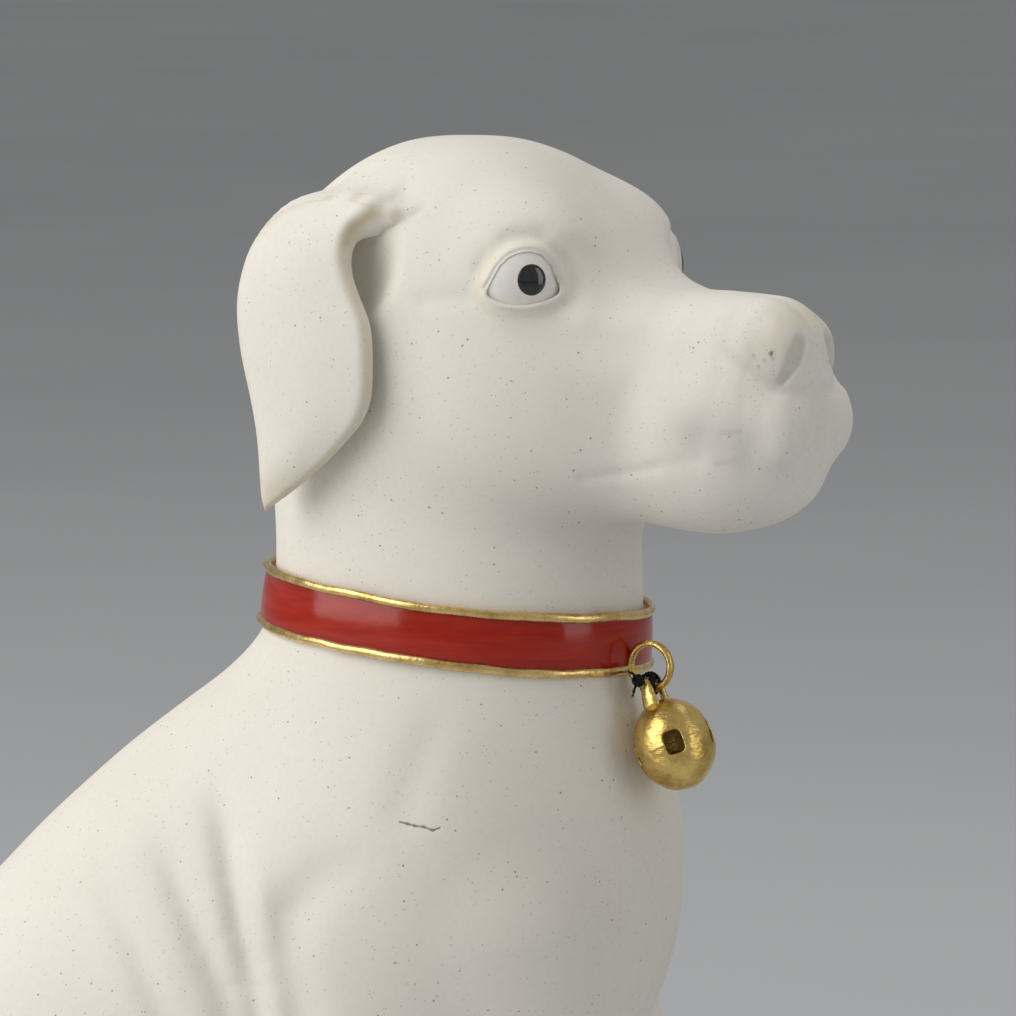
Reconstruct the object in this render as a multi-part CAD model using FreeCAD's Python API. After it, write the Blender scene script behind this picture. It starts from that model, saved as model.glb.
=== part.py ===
"""Seated hound figure in unglazed white ceramic, with a red enamelled collar and a gilt bell.

Millimetres. +Z is up, the dog faces -Y and its right side is at -X. The origin is on the
ground, under the middle of the seat. The head, the neck and the collar turn together to the
dog's right, so they are laid out along their own forward and right directions, which start
at the neck's axis.
"""
import FreeCAD, Part
import math
import os

Vector = FreeCAD.Vector

# Driving dimensions of the figure
figure_height = 284.0
jaw_height = 210.0
head_reach = 85.5
skull_half_width = 36.0
head_turn = 19.0
collar_height_z = 188.5
neck_ahead = 56.0
neck_half_length = 38.6
neck_half_width = 33.6
chest_reach = 45.8
rump_reach = 151.5
torso_half_width = 51.5
clay_wall = 5.0
vent_diameter = 3.6
overrun = 2.0

# Ears
ear_drop = 61.0
ear_half_length = 15.8
ear_half_thickness = 2.1
ear_stand_out = 41.8

# Eyes
eyeball_radius = 8.5
eye_forward = 31.5
eye_aside = 21.8
eye_height = 258.4
eye_outward_turn = 58.0
pupil_radius = 3.0
pupil_depth = 0.7
pupil_proud = 0.1

# Nose, lips and brows
nose_half_width = 10.5
nose_half_height = 8.0
nose_half_length = 8.0
nostril_radius = 2.6
flew_half_width = 8.5
flew_half_height = 14.0
flew_half_length = 17.0
chin_half_width = 11.0
brow_radius = 7.5

# Legs, feet and tail
foreleg_half_width = 22.0
foreleg_height = 150.0
paw_reach = 111.0
haunch_height = 98.0
haunch_half_length = 54.0
haunch_half_width = 20.0
haunch_aside = 43.5
haunch_behind = 43.0
foot_height = 21.0
foot_half_length = 37.0
foot_half_width = 13.0
foot_aside = 44.0
tail_root_radius = 9.5

# Collar
collar_width = 10.8
collar_tilt = 3.5
collar_thickness = 1.9
bead_radius = 0.95

# Ring, bell and pellet
ring_radius = 4.5
ring_wire_radius = 0.85
ring_ahead_of_collar = 4.6
ring_below_collar = 5.2
lug_wire_radius = 0.65
lug_clearance = 0.3
lug_half_gap = 1.85
lug_drop = 4.2
lug_foot_radius = 1.1
bell_radius = 8.1
bell_half_height = 9.4
bell_wall = 1.3
bell_rest_tilt = 23.5
window_width = 3.8
window_height = 4.8
window_turn = 32.0
pellet_radius = 3.3
pellet_clearance = 0.3

# Thread
thread_radius = 0.33
thread_clearance = 0.08
# more room round the ring's wire, which bends away from the loop as it swings
thread_slack = 0.06
knot_radius = 1.1
thread_end_length = 1.9

# Outlines as shares. Torso: height, front, back, half width, share of the head's turn
torso_shares = (
    (1.040, 0.834, 0.243, 0.645, 1.00),
    (1.000, 0.843, 0.251, 0.652, 1.00),
    (0.966, 0.849, 0.274, 0.672, 0.90),
    (0.934, 0.865, 0.307, 0.709, 0.70),
    (0.897, 0.889, 0.370, 0.767, 0.45),
    (0.851, 0.928, 0.444, 0.825, 0.25),
    (0.806, 0.975, 0.508, 0.880, 0.10),
    (0.763, 1.000, 0.566, 0.922, 0.00),
    (0.719, 1.000, 0.617, 0.957, 0.00),
    (0.637, 0.939, 0.713, 0.990, 0.00),
    (0.557, 0.786, 0.792, 1.000, 0.00),
    (0.477, 0.590, 0.858, 0.990, 0.00),
    (0.398, 0.371, 0.914, 0.971, 0.00),
    (0.318, 0.109, 0.957, 0.932, 0.00),
    (0.239, -0.175, 0.987, 0.893, 0.00),
    (0.159, -0.393, 1.000, 0.864, 0.00),
    (0.080, -0.568, 0.990, 0.835, 0.00),
    (0.000, -0.655, 0.964, 0.796, 0.00),
)
# Neck above the luting joint: height, front, back, half width
neck_shares = (
    (0.970, 1.000, 1.000, 1.000),
    (1.040, 0.990, 0.953, 0.988),
    (1.082, 0.984, 0.953, 0.988),
    (1.135, 0.959, 0.972, 0.997),
    (1.199, 0.881, 0.984, 0.997),
    (1.273, 0.725, 0.959, 0.923),
)
# Head from the nape to the nose: forward, top, bottom, half width
head_shares = (
    (-0.485, 0.380, 0.320, 0.050),
    (-0.468, 0.486, 0.216, 0.194),
    (-0.433, 0.703, 0.054, 0.528),
    (-0.327, 0.851, -0.081, 0.778),
    (-0.140, 0.966, -0.162, 0.931),
    (0.070, 1.000, -0.162, 1.000),
    (0.257, 0.966, -0.135, 0.965),
    (0.398, 0.878, -0.068, 0.865),
    (0.491, 0.730, -0.020, 0.755),
    (0.573, 0.635, 0.000, 0.645),
    (0.702, 0.622, 0.000, 0.569),
    (0.819, 0.622, 0.007, 0.514),
    (0.912, 0.581, 0.041, 0.458),
    (0.971, 0.500, 0.108, 0.361),
    (1.000, 0.419, 0.189, 0.222),
)
# Ear flap: drop, forward, half length, distance out, half thickness
ear_shares = (
    (-0.05, -0.13, 0.57, 0.57, 1.70),
    (0.00, -0.32, 0.82, 0.67, 2.90),
    (0.08, -0.57, 0.95, 0.79, 3.30),
    (0.21, -0.82, 0.79, 0.90, 2.50),
    (0.35, -0.77, 0.94, 0.98, 1.35),
    (0.46, -0.68, 1.00, 1.00, 1.10),
    (0.63, -0.58, 0.94, 0.99, 1.00),
    (0.77, -0.68, 0.74, 0.97, 0.95),
    (0.89, -1.08, 0.35, 0.94, 0.85),
    (0.96, -1.27, 0.10, 0.92, 0.60),
)
# Foreleg: height, front, back, inner side, outer side
foreleg_shares = (
    (1.00, 0.720, 0.450, 0.60, 1.60),
    (0.87, 0.815, 0.350, 0.55, 2.12),
    (0.73, 0.842, 0.300, 0.45, 2.34),
    (0.63, 0.840, 0.306, 0.36, 2.30),
    (0.53, 0.829, 0.387, 0.36, 2.09),
    (0.43, 0.820, 0.505, 0.40, 1.75),
    (0.33, 0.815, 0.577, 0.45, 1.53),
    (0.23, 0.820, 0.613, 0.45, 1.46),
    (0.165, 0.840, 0.622, 0.41, 1.49),
    (0.105, 0.900, 0.622, 0.36, 1.55),
    (0.050, 0.982, 0.622, 0.32, 1.62),
    (0.000, 1.000, 0.631, 0.36, 1.59),
)
# Haunch: height, front, back, half width
haunch_shares = (
    (1.00, 0.34, 0.09, 0.20),
    (0.92, 0.70, 0.37, 0.62),
    (0.77, 0.94, 0.69, 0.92),
    (0.61, 1.02, 0.85, 0.99),
    (0.46, 0.98, 0.96, 1.00),
    (0.31, 0.87, 1.02, 0.98),
    (0.15, 0.70, 1.02, 0.94),
    (0.00, 0.52, 0.94, 0.86),
)
# Hind foot: height, front, back, half width
foot_shares = (
    (1.00, 0.10, 0.80, 0.70),
    (0.75, 0.55, 1.00, 0.86),
    (0.45, 0.88, 1.00, 0.97),
    (0.18, 1.00, 1.00, 1.00),
    (0.00, 0.97, 1.00, 0.95),
)
# Tail on the ground: aside, behind the seat's middle (shares of the haunch), radius
tail_shares = (
    (0.05, 1.60, 1.00),
    (-0.30, 1.93, 0.98),
    (-0.72, 2.10, 0.93),
    (-1.16, 2.04, 0.86),
    (-1.50, 1.78, 0.79),
    (-1.66, 1.40, 0.71),
    (-1.665, 0.98, 0.62),
    (-1.63, 0.60, 0.50),
    (-1.57, 0.32, 0.32),
)
# Bare numbers of form: squareness of the ovals, points on one, spread of the collar, and the
# thread's single strand beside its lashing
oval_power_shares = 2.1
oval_points = 16
collar_flare_share = 0.06
strand_share = 0.8


def turned(forward, right, height, turn_share=1.0):
    """A point given from the neck's axis, along the head's own directions."""
    angle = math.radians(head_turn * turn_share)
    x = -forward * math.sin(angle) - right * math.cos(angle)
    y = -neck_ahead - forward * math.cos(angle) + right * math.sin(angle)
    return Vector(x, y, height)


def closed_curve(points):
    """A smooth closed wire through the points."""
    curve = Part.BSplineCurve()
    curve.interpolate(points, PeriodicFlag=True)
    return Part.Wire(curve.toShape())


def oval_offsets(half_length, half_width):
    """The (along, across) points of a squared oval."""
    power = 2.0 / oval_power_shares
    points = []
    for i in range(oval_points):
        angle = 2.0 * math.pi * i / oval_points
        along = math.copysign(abs(math.cos(angle)) ** power, math.cos(angle))
        across = math.copysign(abs(math.sin(angle)) ** power, math.sin(angle))
        points.append((half_length * along, half_width * across))
    return points


def level_slice(front, back, half_width, height, turn_share=0.0, aside=0.0):
    """A level oval slice. front and back are measured from the neck's axis."""
    middle = (front - back) / 2.0
    points = [turned(middle + along, aside + across, height, turn_share)
              for along, across in oval_offsets((front + back) / 2.0, half_width)]
    return closed_curve(points)


def skin(wires):
    return Part.makeLoft(wires, True, False)


def one_solid(shape):
    """The largest solid of a cut, which drops crumbs left at grazing faces."""
    return max(shape.Solids, key=lambda solid: solid.Volume)


def ellipsoid(half_x, half_y, half_z):
    """An ellipsoid about the origin, from a unit ball."""
    matrix = FreeCAD.Matrix()
    matrix.scale(half_x, half_y, half_z)
    return Part.makeSphere(1).transformGeometry(matrix)


def on_head(shape, forward, right, height):
    """Place a shape, made about the origin and facing -Y, on the turned head."""
    shape.rotate(Vector(0, 0, 0), Vector(0, 0, 1), -head_turn)
    shape.translate(turned(forward, right, height))
    return shape


def torso_loft(wall):
    wires = []
    for height, front, back, width, turn in reversed(torso_shares):
        level = max(height * collar_height_z, wall)
        wires.append(level_slice(front * chest_reach - wall, back * rump_reach - wall,
                                 width * torso_half_width - wall, level, turn))
    return skin(wires)


def collar_frame(shape):
    """Place a shape made about the collar's own centre and level plane."""
    shape.rotate(Vector(0, 0, 0), Vector(1, 0, 0), collar_tilt)
    shape.rotate(Vector(0, 0, 0), Vector(0, 0, 1), -head_turn)
    shape.translate(Vector(0, -neck_ahead, collar_height_z))
    return shape


def above_joint():
    """A block that fills the space above the luting joint inside the collar."""
    side = 2.0 * figure_height
    block = Part.makeBox(side, side, side, Vector(-figure_height, -figure_height, 0))
    return collar_frame(block)


def make_torso():
    torso = torso_loft(0.0).cut(torso_loft(clay_wall))
    vent = Part.makeCylinder(vent_diameter / 2.0, clay_wall + 2.0 * overrun,
                             Vector(0, 0, -overrun))
    return one_solid(torso.cut(vent).cut(above_joint()))


def head_loft(wall):
    skull_height = figure_height - jaw_height
    wires = []
    for forward, top, bottom, width in head_shares:
        high = jaw_height + top * skull_height - wall
        low = jaw_height + bottom * skull_height + wall
        half = width * skull_half_width - wall
        if high - low < 2.0 * wall or half < wall:
            continue
        station = forward * head_reach
        points = [turned(station, across, (high + low) / 2.0 + along)
                  for along, across in oval_offsets((high - low) / 2.0, half)]
        wires.append(closed_curve(points))
    return skin(wires)


def neck_loft(wall):
    wires = []
    for height, front, back, width in neck_shares:
        wires.append(level_slice(front * neck_half_length - wall, back * neck_half_length - wall,
                                 width * neck_half_width - wall, height * collar_height_z, 1.0))
    return skin(wires)


def face_forms(side):
    """The brow, lip and nose wing of one side, as bumps on the head."""
    muzzle_end = head_reach
    brow = on_head(ellipsoid(brow_radius, brow_radius, brow_radius * 0.7),
                   eye_forward + brow_radius * 0.45, side * (eye_aside - brow_radius * 0.3),
                   eye_height + brow_radius * 0.85)
    flew = on_head(ellipsoid(flew_half_width, flew_half_length, flew_half_height),
                   muzzle_end - flew_half_length * 1.02, side * flew_half_width * 1.1,
                   jaw_height + flew_half_height * 1.12)
    return [brow, flew]


def make_head(eyeballs):
    outside = head_loft(0.0).fuse(neck_loft(0.0))
    nose_height = jaw_height + (figure_height - jaw_height) * 0.47
    nose = on_head(ellipsoid(nose_half_width, nose_half_length, nose_half_height),
                   head_reach - nose_half_length * 0.9, 0.0, nose_height)
    chin = on_head(ellipsoid(chin_half_width, flew_half_length, chin_half_width * 0.75),
                   head_reach - flew_half_length * 1.35, 0.0, jaw_height + chin_half_width * 0.7)
    bumps = [nose, chin] + face_forms(1.0) + face_forms(-1.0)
    outside = outside.fuse(bumps)
    inside = neck_loft(clay_wall).fuse(head_loft(clay_wall))
    head = outside.cut(inside)
    for side in (1.0, -1.0):
        nostril = on_head(ellipsoid(nostril_radius, nostril_radius * 1.6, nostril_radius),
                          head_reach - nostril_radius, side * nose_half_width * 0.55,
                          nose_height + nostril_radius * 0.3)
        head = head.cut(nostril)
    for eyeball in eyeballs:
        head = head.cut(eyeball)
    return one_solid(head.common(above_joint()))


def make_eye(side):
    """One eyeball and the round pupil let into its face."""
    centre = turned(eye_forward, side * eye_aside, eye_height)
    ball = Part.makeSphere(eyeball_radius, centre)
    angle = math.radians(eye_outward_turn)
    outward = turned(math.cos(angle), side * math.sin(angle), 0) - turned(0, 0, 0)
    reach = eyeball_radius + overrun
    plug = Part.makeCylinder(pupil_radius, reach, centre, outward)
    pupil = Part.makeSphere(eyeball_radius + pupil_proud, centre).common(plug)
    pupil = pupil.cut(Part.makeSphere(eyeball_radius - pupil_depth, centre))
    return one_solid(ball.cut(pupil)), one_solid(pupil)


def make_ear(side, head):
    ear_root = figure_height - ear_drop * 0.2
    wires = []
    for drop, forward, length, out, thickness in ear_shares:
        height = ear_root - drop * ear_drop
        points = [turned(forward * ear_half_length + along,
                         side * (out * ear_stand_out + across), height)
                  for along, across in oval_offsets(length * ear_half_length,
                                                    thickness * ear_half_thickness)]
        wires.append(closed_curve(points))
    return one_solid(skin(wires).cut(head))


def make_foreleg(side, torso_solid):
    wires = []
    for height, front, back, inner, outer in foreleg_shares:
        wires.append(level_slice(front * paw_reach - neck_ahead, neck_ahead - back * paw_reach,
                                 (outer - inner) * foreleg_half_width / 2.0,
                                 height * foreleg_height, 0.0,
                                 side * (outer + inner) * foreleg_half_width / 2.0))
    return one_solid(skin(wires).cut(torso_solid))


def make_haunch(side, torso_solid):
    """Thigh, with the hind foot that comes out from under it."""
    thigh_wires = []
    for height, front, back, width in haunch_shares:
        ahead = front * haunch_half_length - haunch_behind - neck_ahead
        behind = back * haunch_half_length + haunch_behind + neck_ahead
        thigh_wires.append(level_slice(ahead, behind, width * haunch_half_width,
                                       height * haunch_height, 0.0, side * haunch_aside))
    foot_wires = []
    for height, front, back, width in foot_shares:
        foot_wires.append(level_slice(front * foot_half_length - neck_ahead + foot_half_width / 2.0,
                                      back * foot_half_length + neck_ahead,
                                      width * foot_half_width, height * foot_height, 0.0,
                                      side * foot_aside))
    limb = skin(thigh_wires[::-1]).fuse(skin(foot_wires[::-1]))
    return one_solid(limb.cut(torso_solid))


def ground_block():
    side = 2.0 * figure_height
    return Part.makeBox(side, side, side, Vector(-figure_height, -figure_height, -side))


def make_tail(torso_solid, haunch):
    centres = []
    for aside, behind, radius in tail_shares:
        size = radius * tail_root_radius
        centres.append((Vector(aside * haunch_aside, behind * haunch_half_length, size), size))
    wires = []
    for i, (centre, size) in enumerate(centres):
        before = centres[max(i - 1, 0)][0]
        after = centres[min(i + 1, len(centres) - 1)][0]
        wires.append(Part.Wire(Part.makeCircle(size, centre, after - before)))
    return one_solid(skin(wires).cut([torso_solid, haunch, ground_block()]))


def collar_oval(grow, level):
    """An ellipse round the neck, in the collar's own frame. The collar is wider below."""
    spread = grow - level * collar_flare_share
    ellipse = Part.Ellipse(Vector(0, 0, level), neck_half_length + spread, neck_half_width + spread)
    wire = Part.Wire(ellipse.toShape())
    wire.rotate(Vector(0, 0, 0), Vector(0, 0, 1), 90)
    return wire


def make_collar(neck_solids):
    """The enamelled band and the two gilt beads along its edges."""
    half = collar_width / 2.0
    band = Part.makeLoft([collar_oval(collar_thickness, -half), collar_oval(collar_thickness, half)],
                         True, True)
    band = collar_frame(band)
    pieces = []
    for level in (half, -half):
        path = collar_oval(collar_thickness, level)
        start = path.Vertexes[0].Point
        profile = Part.Wire(Part.makeCircle(bead_radius, start, Vector(1, 0, 0)))
        pieces.append(collar_frame(path.makePipeShell([profile], True, True)))
    for neck in neck_solids:
        band = band.cut(neck)
        pieces = [bead.cut(neck) for bead in pieces]
    pieces = [one_solid(bead.cut(band)) for bead in pieces]
    return one_solid(band), pieces[0], pieces[1]


def ring_centre_forward():
    return neck_half_length + collar_thickness + ring_ahead_of_collar


def ring_centre_height():
    drop = (neck_half_length + collar_thickness) * math.sin(math.radians(collar_tilt))
    return collar_height_z - drop - ring_below_collar


def make_ring(solids):
    """A gilt wire ring, upright and facing sideways, fired into the collar's front."""
    ring = Part.makeTorus(ring_radius, ring_wire_radius, Vector(0, 0, 0), Vector(1, 0, 0))
    ring = on_head(ring, ring_centre_forward(), 0.0, ring_centre_height())
    for solid in solids:
        ring = ring.cut(solid)
    return one_solid(ring)


def lug_pivot_height():
    bottom = ring_centre_height() - ring_radius
    return bottom + ring_wire_radius + lug_clearance + lug_wire_radius


def on_ring(shape, tilt=0.0):
    """Place a shape made about the lug's bar, hanging down -Z, at the ring."""
    shape.rotate(Vector(0, 0, 0), Vector(1, 0, 0), -tilt)
    return on_head(shape, ring_centre_forward(), 0.0, lug_pivot_height())


def egg(radius, half_height, centre_drop):
    """An upright egg below the origin, made by turning half an oval about Z."""
    middle = Vector(0, 0, -centre_drop)
    top = middle + Vector(0, 0, half_height)
    bottom = middle - Vector(0, 0, half_height)
    oval = Part.Ellipse(top, middle + Vector(radius, 0, 0), middle)
    outline = Part.Wire([oval.toShape(0, math.pi), Part.makeLine(bottom, top)])
    return Part.Face(outline).revolve(middle, Vector(0, 0, 1), 360)


def bell_drop():
    """How far the middle of the bell hangs below the bar of its lug."""
    return lug_drop + bell_half_height


def cup(radius, half_height, wall, upward):
    """Half of a hollow egg about the origin: its wall's profile turned about Z."""
    tip = Vector(0, 0, upward * half_height)
    inner_tip = tip - Vector(0, 0, upward * wall)
    rim = Vector(radius, 0, 0)
    inner_rim = Vector(radius - wall, 0, 0)
    middle = Vector(0, 0, 0)
    outer = Part.Ellipse(tip, rim, middle).toShape(0, math.pi / 2.0)
    inner = Part.Ellipse(inner_tip, inner_rim, middle).toShape(0, math.pi / 2.0)
    outline = [outer, Part.makeLine(rim, inner_rim), inner, Part.makeLine(inner_tip, tip)]
    return Part.Face(Part.Wire(outline)).revolve(middle, Vector(0, 0, 1), 360)


def make_bell_half(upward):
    """One pressed half of the shell. The four windows are notches in the two rims."""
    half = cup(bell_radius, bell_half_height, bell_wall, upward)
    for quarter in range(4):
        window = Part.makeBox(bell_radius + overrun, window_width, window_height,
                              Vector(0, -window_width / 2.0, -window_height / 2.0))
        turn = 180.0 - window_turn + 90.0 * quarter
        window.rotate(Vector(0, 0, 0), Vector(0, 0, 1), -turn)
        half = half.cut(window)
    half.translate(Vector(0, 0, -bell_drop()))
    return on_ring(one_solid(half), bell_rest_tilt)


def make_lug():
    """The wire strap on the bell's crown: a bar with two legs that widen to their feet."""
    leg_x = lug_half_gap + lug_wire_radius
    lug = Part.makeCylinder(lug_wire_radius, 2.0 * leg_x, Vector(-leg_x, 0, 0), Vector(1, 0, 0))
    for x in (-leg_x, leg_x):
        knee = Part.makeSphere(lug_wire_radius, Vector(x, 0, 0))
        leg = Part.makeCone(lug_wire_radius, lug_foot_radius, lug_drop + bell_wall,
                            Vector(x, 0, 0), Vector(0, 0, -1))
        lug = lug.fuse([knee, leg])
    crown = egg(bell_radius, bell_half_height, bell_drop())
    return on_ring(one_solid(lug.cut(crown)), bell_rest_tilt)


def below_lug(distance):
    """Forward distance and height of a place on the hanging bell's own axis."""
    tilt = math.radians(bell_rest_tilt)
    return (ring_centre_forward() + distance * math.sin(tilt),
            lug_pivot_height() - distance * math.cos(tilt))


def hollow_floor_curve():
    """The radius of the egg-shaped hollow at its lower tip."""
    return (bell_radius - bell_wall) ** 2 / (bell_half_height - bell_wall)


def roll_centre():
    """The middle of the round path that the pellet takes along the hollow's floor."""
    return below_lug(bell_drop() + bell_half_height - bell_wall - hollow_floor_curve())


def make_pellet():
    """The loose rattle ball, at the lowest place of its path."""
    forward, height = roll_centre()
    fall = hollow_floor_curve() - pellet_radius - pellet_clearance
    return Part.makeSphere(pellet_radius, turned(forward, 0.0, height - fall))


def make_thread():
    """A loop that lashes the lug's bar to the ring's wire, its knot and two cut ends."""
    gap = thread_radius + thread_clearance
    over = lug_wire_radius + gap
    under = lug_wire_radius + lug_clearance + 2.0 * ring_wire_radius + gap + thread_slack
    half = (ring_wire_radius + gap + 2.0 * thread_slack) * math.sqrt(2.0)
    high, low = over - half, half - under
    corners = [Vector(half, 0, high), Vector(-half, 0, high), Vector(-half, 0, low),
               Vector(half, 0, low)]
    path = Part.Wire([Part.Arc(corners[0], Vector(0, 0, over), corners[1]).toShape(),
                      Part.makeLine(corners[1], corners[2]),
                      Part.Arc(corners[2], Vector(0, 0, -under), corners[3]).toShape(),
                      Part.makeLine(corners[3], corners[0])])
    profile = Part.Wire(Part.makeCircle(thread_radius, corners[0], Vector(0, 0, 1)))
    loop = path.makePipeShell([profile], True, False)
    loop.rotate(Vector(0, 0, 0), Vector(0, 0, 1), 45)
    knot_place = Vector(-lug_half_gap - 2.0 * lug_wire_radius - knot_radius - thread_clearance, 0,
                        over)
    knot = Part.makeSphere(knot_radius, knot_place)
    strand_radius = thread_radius * strand_share
    start = Vector(0, 0, over)
    pieces = [knot, Part.makeCylinder(strand_radius, (knot_place - start).Length, start,
                                      knot_place - start)]
    for direction in (Vector(-1.0, 0.8, 1.0), Vector(-0.45, 0.3, -1.0)):
        pieces.append(Part.makeCylinder(strand_radius, knot_radius + thread_end_length, knot_place,
                                        direction))
    return on_ring(one_solid(loop.fuse(pieces)))


def main():
    os.makedirs("parts", exist_ok=True)
    torso_form = torso_loft(0.0)
    torso = make_torso()
    right_eyeball, right_pupil = make_eye(1.0)
    left_eyeball, left_pupil = make_eye(-1.0)
    eye_balls = [Part.makeSphere(eyeball_radius, turned(eye_forward, side * eye_aside, eye_height))
                 for side in (1.0, -1.0)]
    head = make_head(eye_balls)
    right_haunch = make_haunch(1.0, torso_form)
    left_haunch = make_haunch(-1.0, torso_form)
    band, upper_bead, lower_bead = make_collar([torso_form.cut(above_joint()),
                                                neck_loft(0.0).common(above_joint())])
    nodes = {
        "torso": torso,
        "head": head,
        "right_ear": make_ear(1.0, head),
        "left_ear": make_ear(-1.0, head),
        "right_eyeball": right_eyeball,
        "left_eyeball": left_eyeball,
        "right_pupil": right_pupil,
        "left_pupil": left_pupil,
        "right_foreleg": make_foreleg(1.0, torso_form),
        "left_foreleg": make_foreleg(-1.0, torso_form),
        "right_haunch": right_haunch,
        "left_haunch": left_haunch,
        "tail": make_tail(torso_form, right_haunch),
        "collar_band": band,
        "collar_upper_bead": upper_bead,
        "collar_lower_bead": lower_bead,
        "collar_ring": make_ring([band, upper_bead, lower_bead, torso, head]),
        "tie_thread": make_thread(),
        "bell_upper_half": make_bell_half(1.0),
        "bell_lower_half": make_bell_half(-1.0),
        "bell_lug": make_lug(),
        "bell_pellet": make_pellet(),
    }
    for name, shape in nodes.items():
        shape.exportStep("parts/" + name + ".step")
        box = shape.BoundBox
        print(name, "valid", shape.isValid(), "solids", len(shape.Solids),
              "cm3", round(shape.Volume / 1000.0, 3),
              "x", round(box.XMin, 1), round(box.XMax, 1), "y", round(box.YMin, 1),
              round(box.YMax, 1), "z", round(box.ZMin, 1), round(box.ZMax, 1))
    forward, height = roll_centre()
    for name, point in (("ring bottom wire", turned(ring_centre_forward(), 0.0,
                                                    ring_centre_height() - ring_radius)),
                        ("lug bar", turned(ring_centre_forward(), 0.0, lug_pivot_height())),
                        ("pellet path middle", turned(forward, 0.0, height))):
        print(name, [round(value, 3) for value in (point.x, point.y, point.z)])


main()
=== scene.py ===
"""Looks of the seated hound figure: clay sculpt, eyes, enamelled collar, ring, thread and bell.

The sculpt is written in millimetres as smooth distance fields, meshed here, and scaled to metres.
The head is laid out along its own directions: forward, to the dog's right, and up.
"""

import math

import bpy
import bmesh
import numpy as np
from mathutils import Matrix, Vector


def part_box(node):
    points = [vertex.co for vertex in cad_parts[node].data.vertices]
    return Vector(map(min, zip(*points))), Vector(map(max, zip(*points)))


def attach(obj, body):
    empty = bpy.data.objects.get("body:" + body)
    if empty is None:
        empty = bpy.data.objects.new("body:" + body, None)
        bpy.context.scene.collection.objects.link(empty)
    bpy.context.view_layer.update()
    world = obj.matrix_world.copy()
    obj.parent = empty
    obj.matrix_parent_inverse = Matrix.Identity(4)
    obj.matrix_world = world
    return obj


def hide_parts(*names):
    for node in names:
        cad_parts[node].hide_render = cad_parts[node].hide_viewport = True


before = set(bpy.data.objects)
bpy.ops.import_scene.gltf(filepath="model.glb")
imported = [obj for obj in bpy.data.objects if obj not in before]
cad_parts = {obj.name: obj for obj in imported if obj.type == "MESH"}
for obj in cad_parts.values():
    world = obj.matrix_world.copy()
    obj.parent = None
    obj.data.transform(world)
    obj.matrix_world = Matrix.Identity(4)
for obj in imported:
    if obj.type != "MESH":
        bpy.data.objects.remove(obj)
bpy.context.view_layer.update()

MM = 0.001
HEAD_TURN = 19.0
NECK_Y = -56.0
COLLAR_Z = 188.3
COLLAR_TILT = 5.0
COLLAR_ROLL = 2.6
SIN_T, COS_T = math.sin(math.radians(HEAD_TURN)), math.cos(math.radians(HEAD_TURN))


# Frames

def head_to_row(q):
    """Head coordinates (forward, right, up) to the row frame, in millimetres."""
    s, r, z = q[..., 0], q[..., 1], q[..., 2]
    return np.stack([-s * SIN_T - r * COS_T, NECK_Y - s * COS_T + r * SIN_T, z], -1)


def row_to_head(p):
    """The way back from the row frame to head coordinates."""
    x, y, z = p[..., 0], p[..., 1] - NECK_Y, p[..., 2]
    return np.stack([-x * SIN_T - y * COS_T, -x * COS_T + y * SIN_T, z], -1)


def collar_level(p):
    """Height of the collar's middle plane at row-frame points."""
    forward = -p[:, 0] * SIN_T - (p[:, 1] - NECK_Y) * COS_T
    return COLLAR_Z - forward * math.tan(math.radians(COLLAR_TILT))


# Distance fields

def smin(a, b, k):
    h = np.clip(0.5 + 0.5 * (b - a) / k, 0.0, 1.0)
    return b + (a - b) * h - k * h * (1.0 - h)


def smax(a, b, k):
    return -smin(-a, -b, k)


def step(x, low, high):
    t = np.clip((x - low) / (high - low), 0.0, 1.0)
    return t * t * (3.0 - 2.0 * t)


def hump(x, width):
    """1 where x is zero, falling to nothing over about twice the width."""
    return np.exp(-(x / width) ** 2)


def unit(v):
    return v / (np.linalg.norm(v, axis=-1, keepdims=True) + 1e-9)


def blob(p, centre, radii, yaw=0.0, pitch=0.0):
    """Ellipsoid. yaw turns its first axis towards the second, pitch lifts its first axis."""
    q = p - np.array(centre, np.float32)
    if yaw or pitch:
        a, b = math.radians(yaw), math.radians(pitch)
        e0 = np.array([math.cos(a) * math.cos(b), math.sin(a) * math.cos(b), math.sin(b)])
        e1 = np.array([-math.sin(a), math.cos(a), 0.0])
        e2 = np.cross(e0, e1)
        q = q @ np.stack([e0, e1, e2], 1).astype(np.float32)
    radii = np.array(radii, np.float32)
    k0 = np.sqrt((q / radii)[:, 0] ** 2 + (q / radii)[:, 1] ** 2 + (q / radii)[:, 2] ** 2)
    w = q / (radii * radii)
    k1 = np.sqrt(w[:, 0] ** 2 + w[:, 1] ** 2 + w[:, 2] ** 2) + 1e-6
    return k0 * (k0 - 1.0) / k1


def rod(p, a, b, ra, rb):
    """A rod from a to b whose radius changes from ra to rb."""
    a = np.array(a, np.float32)
    d = np.array(b, np.float32) - a
    t = np.clip(((p - a) @ d) / float(d @ d), 0.0, 1.0)
    gap = p - a - t[:, None] * d
    return np.sqrt((gap * gap).sum(1)) - (ra + t * (rb - ra))


def trail(p, points, radii, k=2.0):
    """Rods through the points, joined smoothly."""
    d = None
    for i in range(len(points) - 1):
        e = rod(p, points[i], points[i + 1], radii[i], radii[i + 1])
        d = e if d is None else smin(d, e, k)
    return d


def track(p, points):
    """Distance to a line through the points."""
    return trail(p, points, [0.0] * len(points), 0.6)


# The photograph's frame: its middle, and its scale at the head
PX_MIDDLE, PX_PER_MM = 508.0, 5.2


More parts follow.
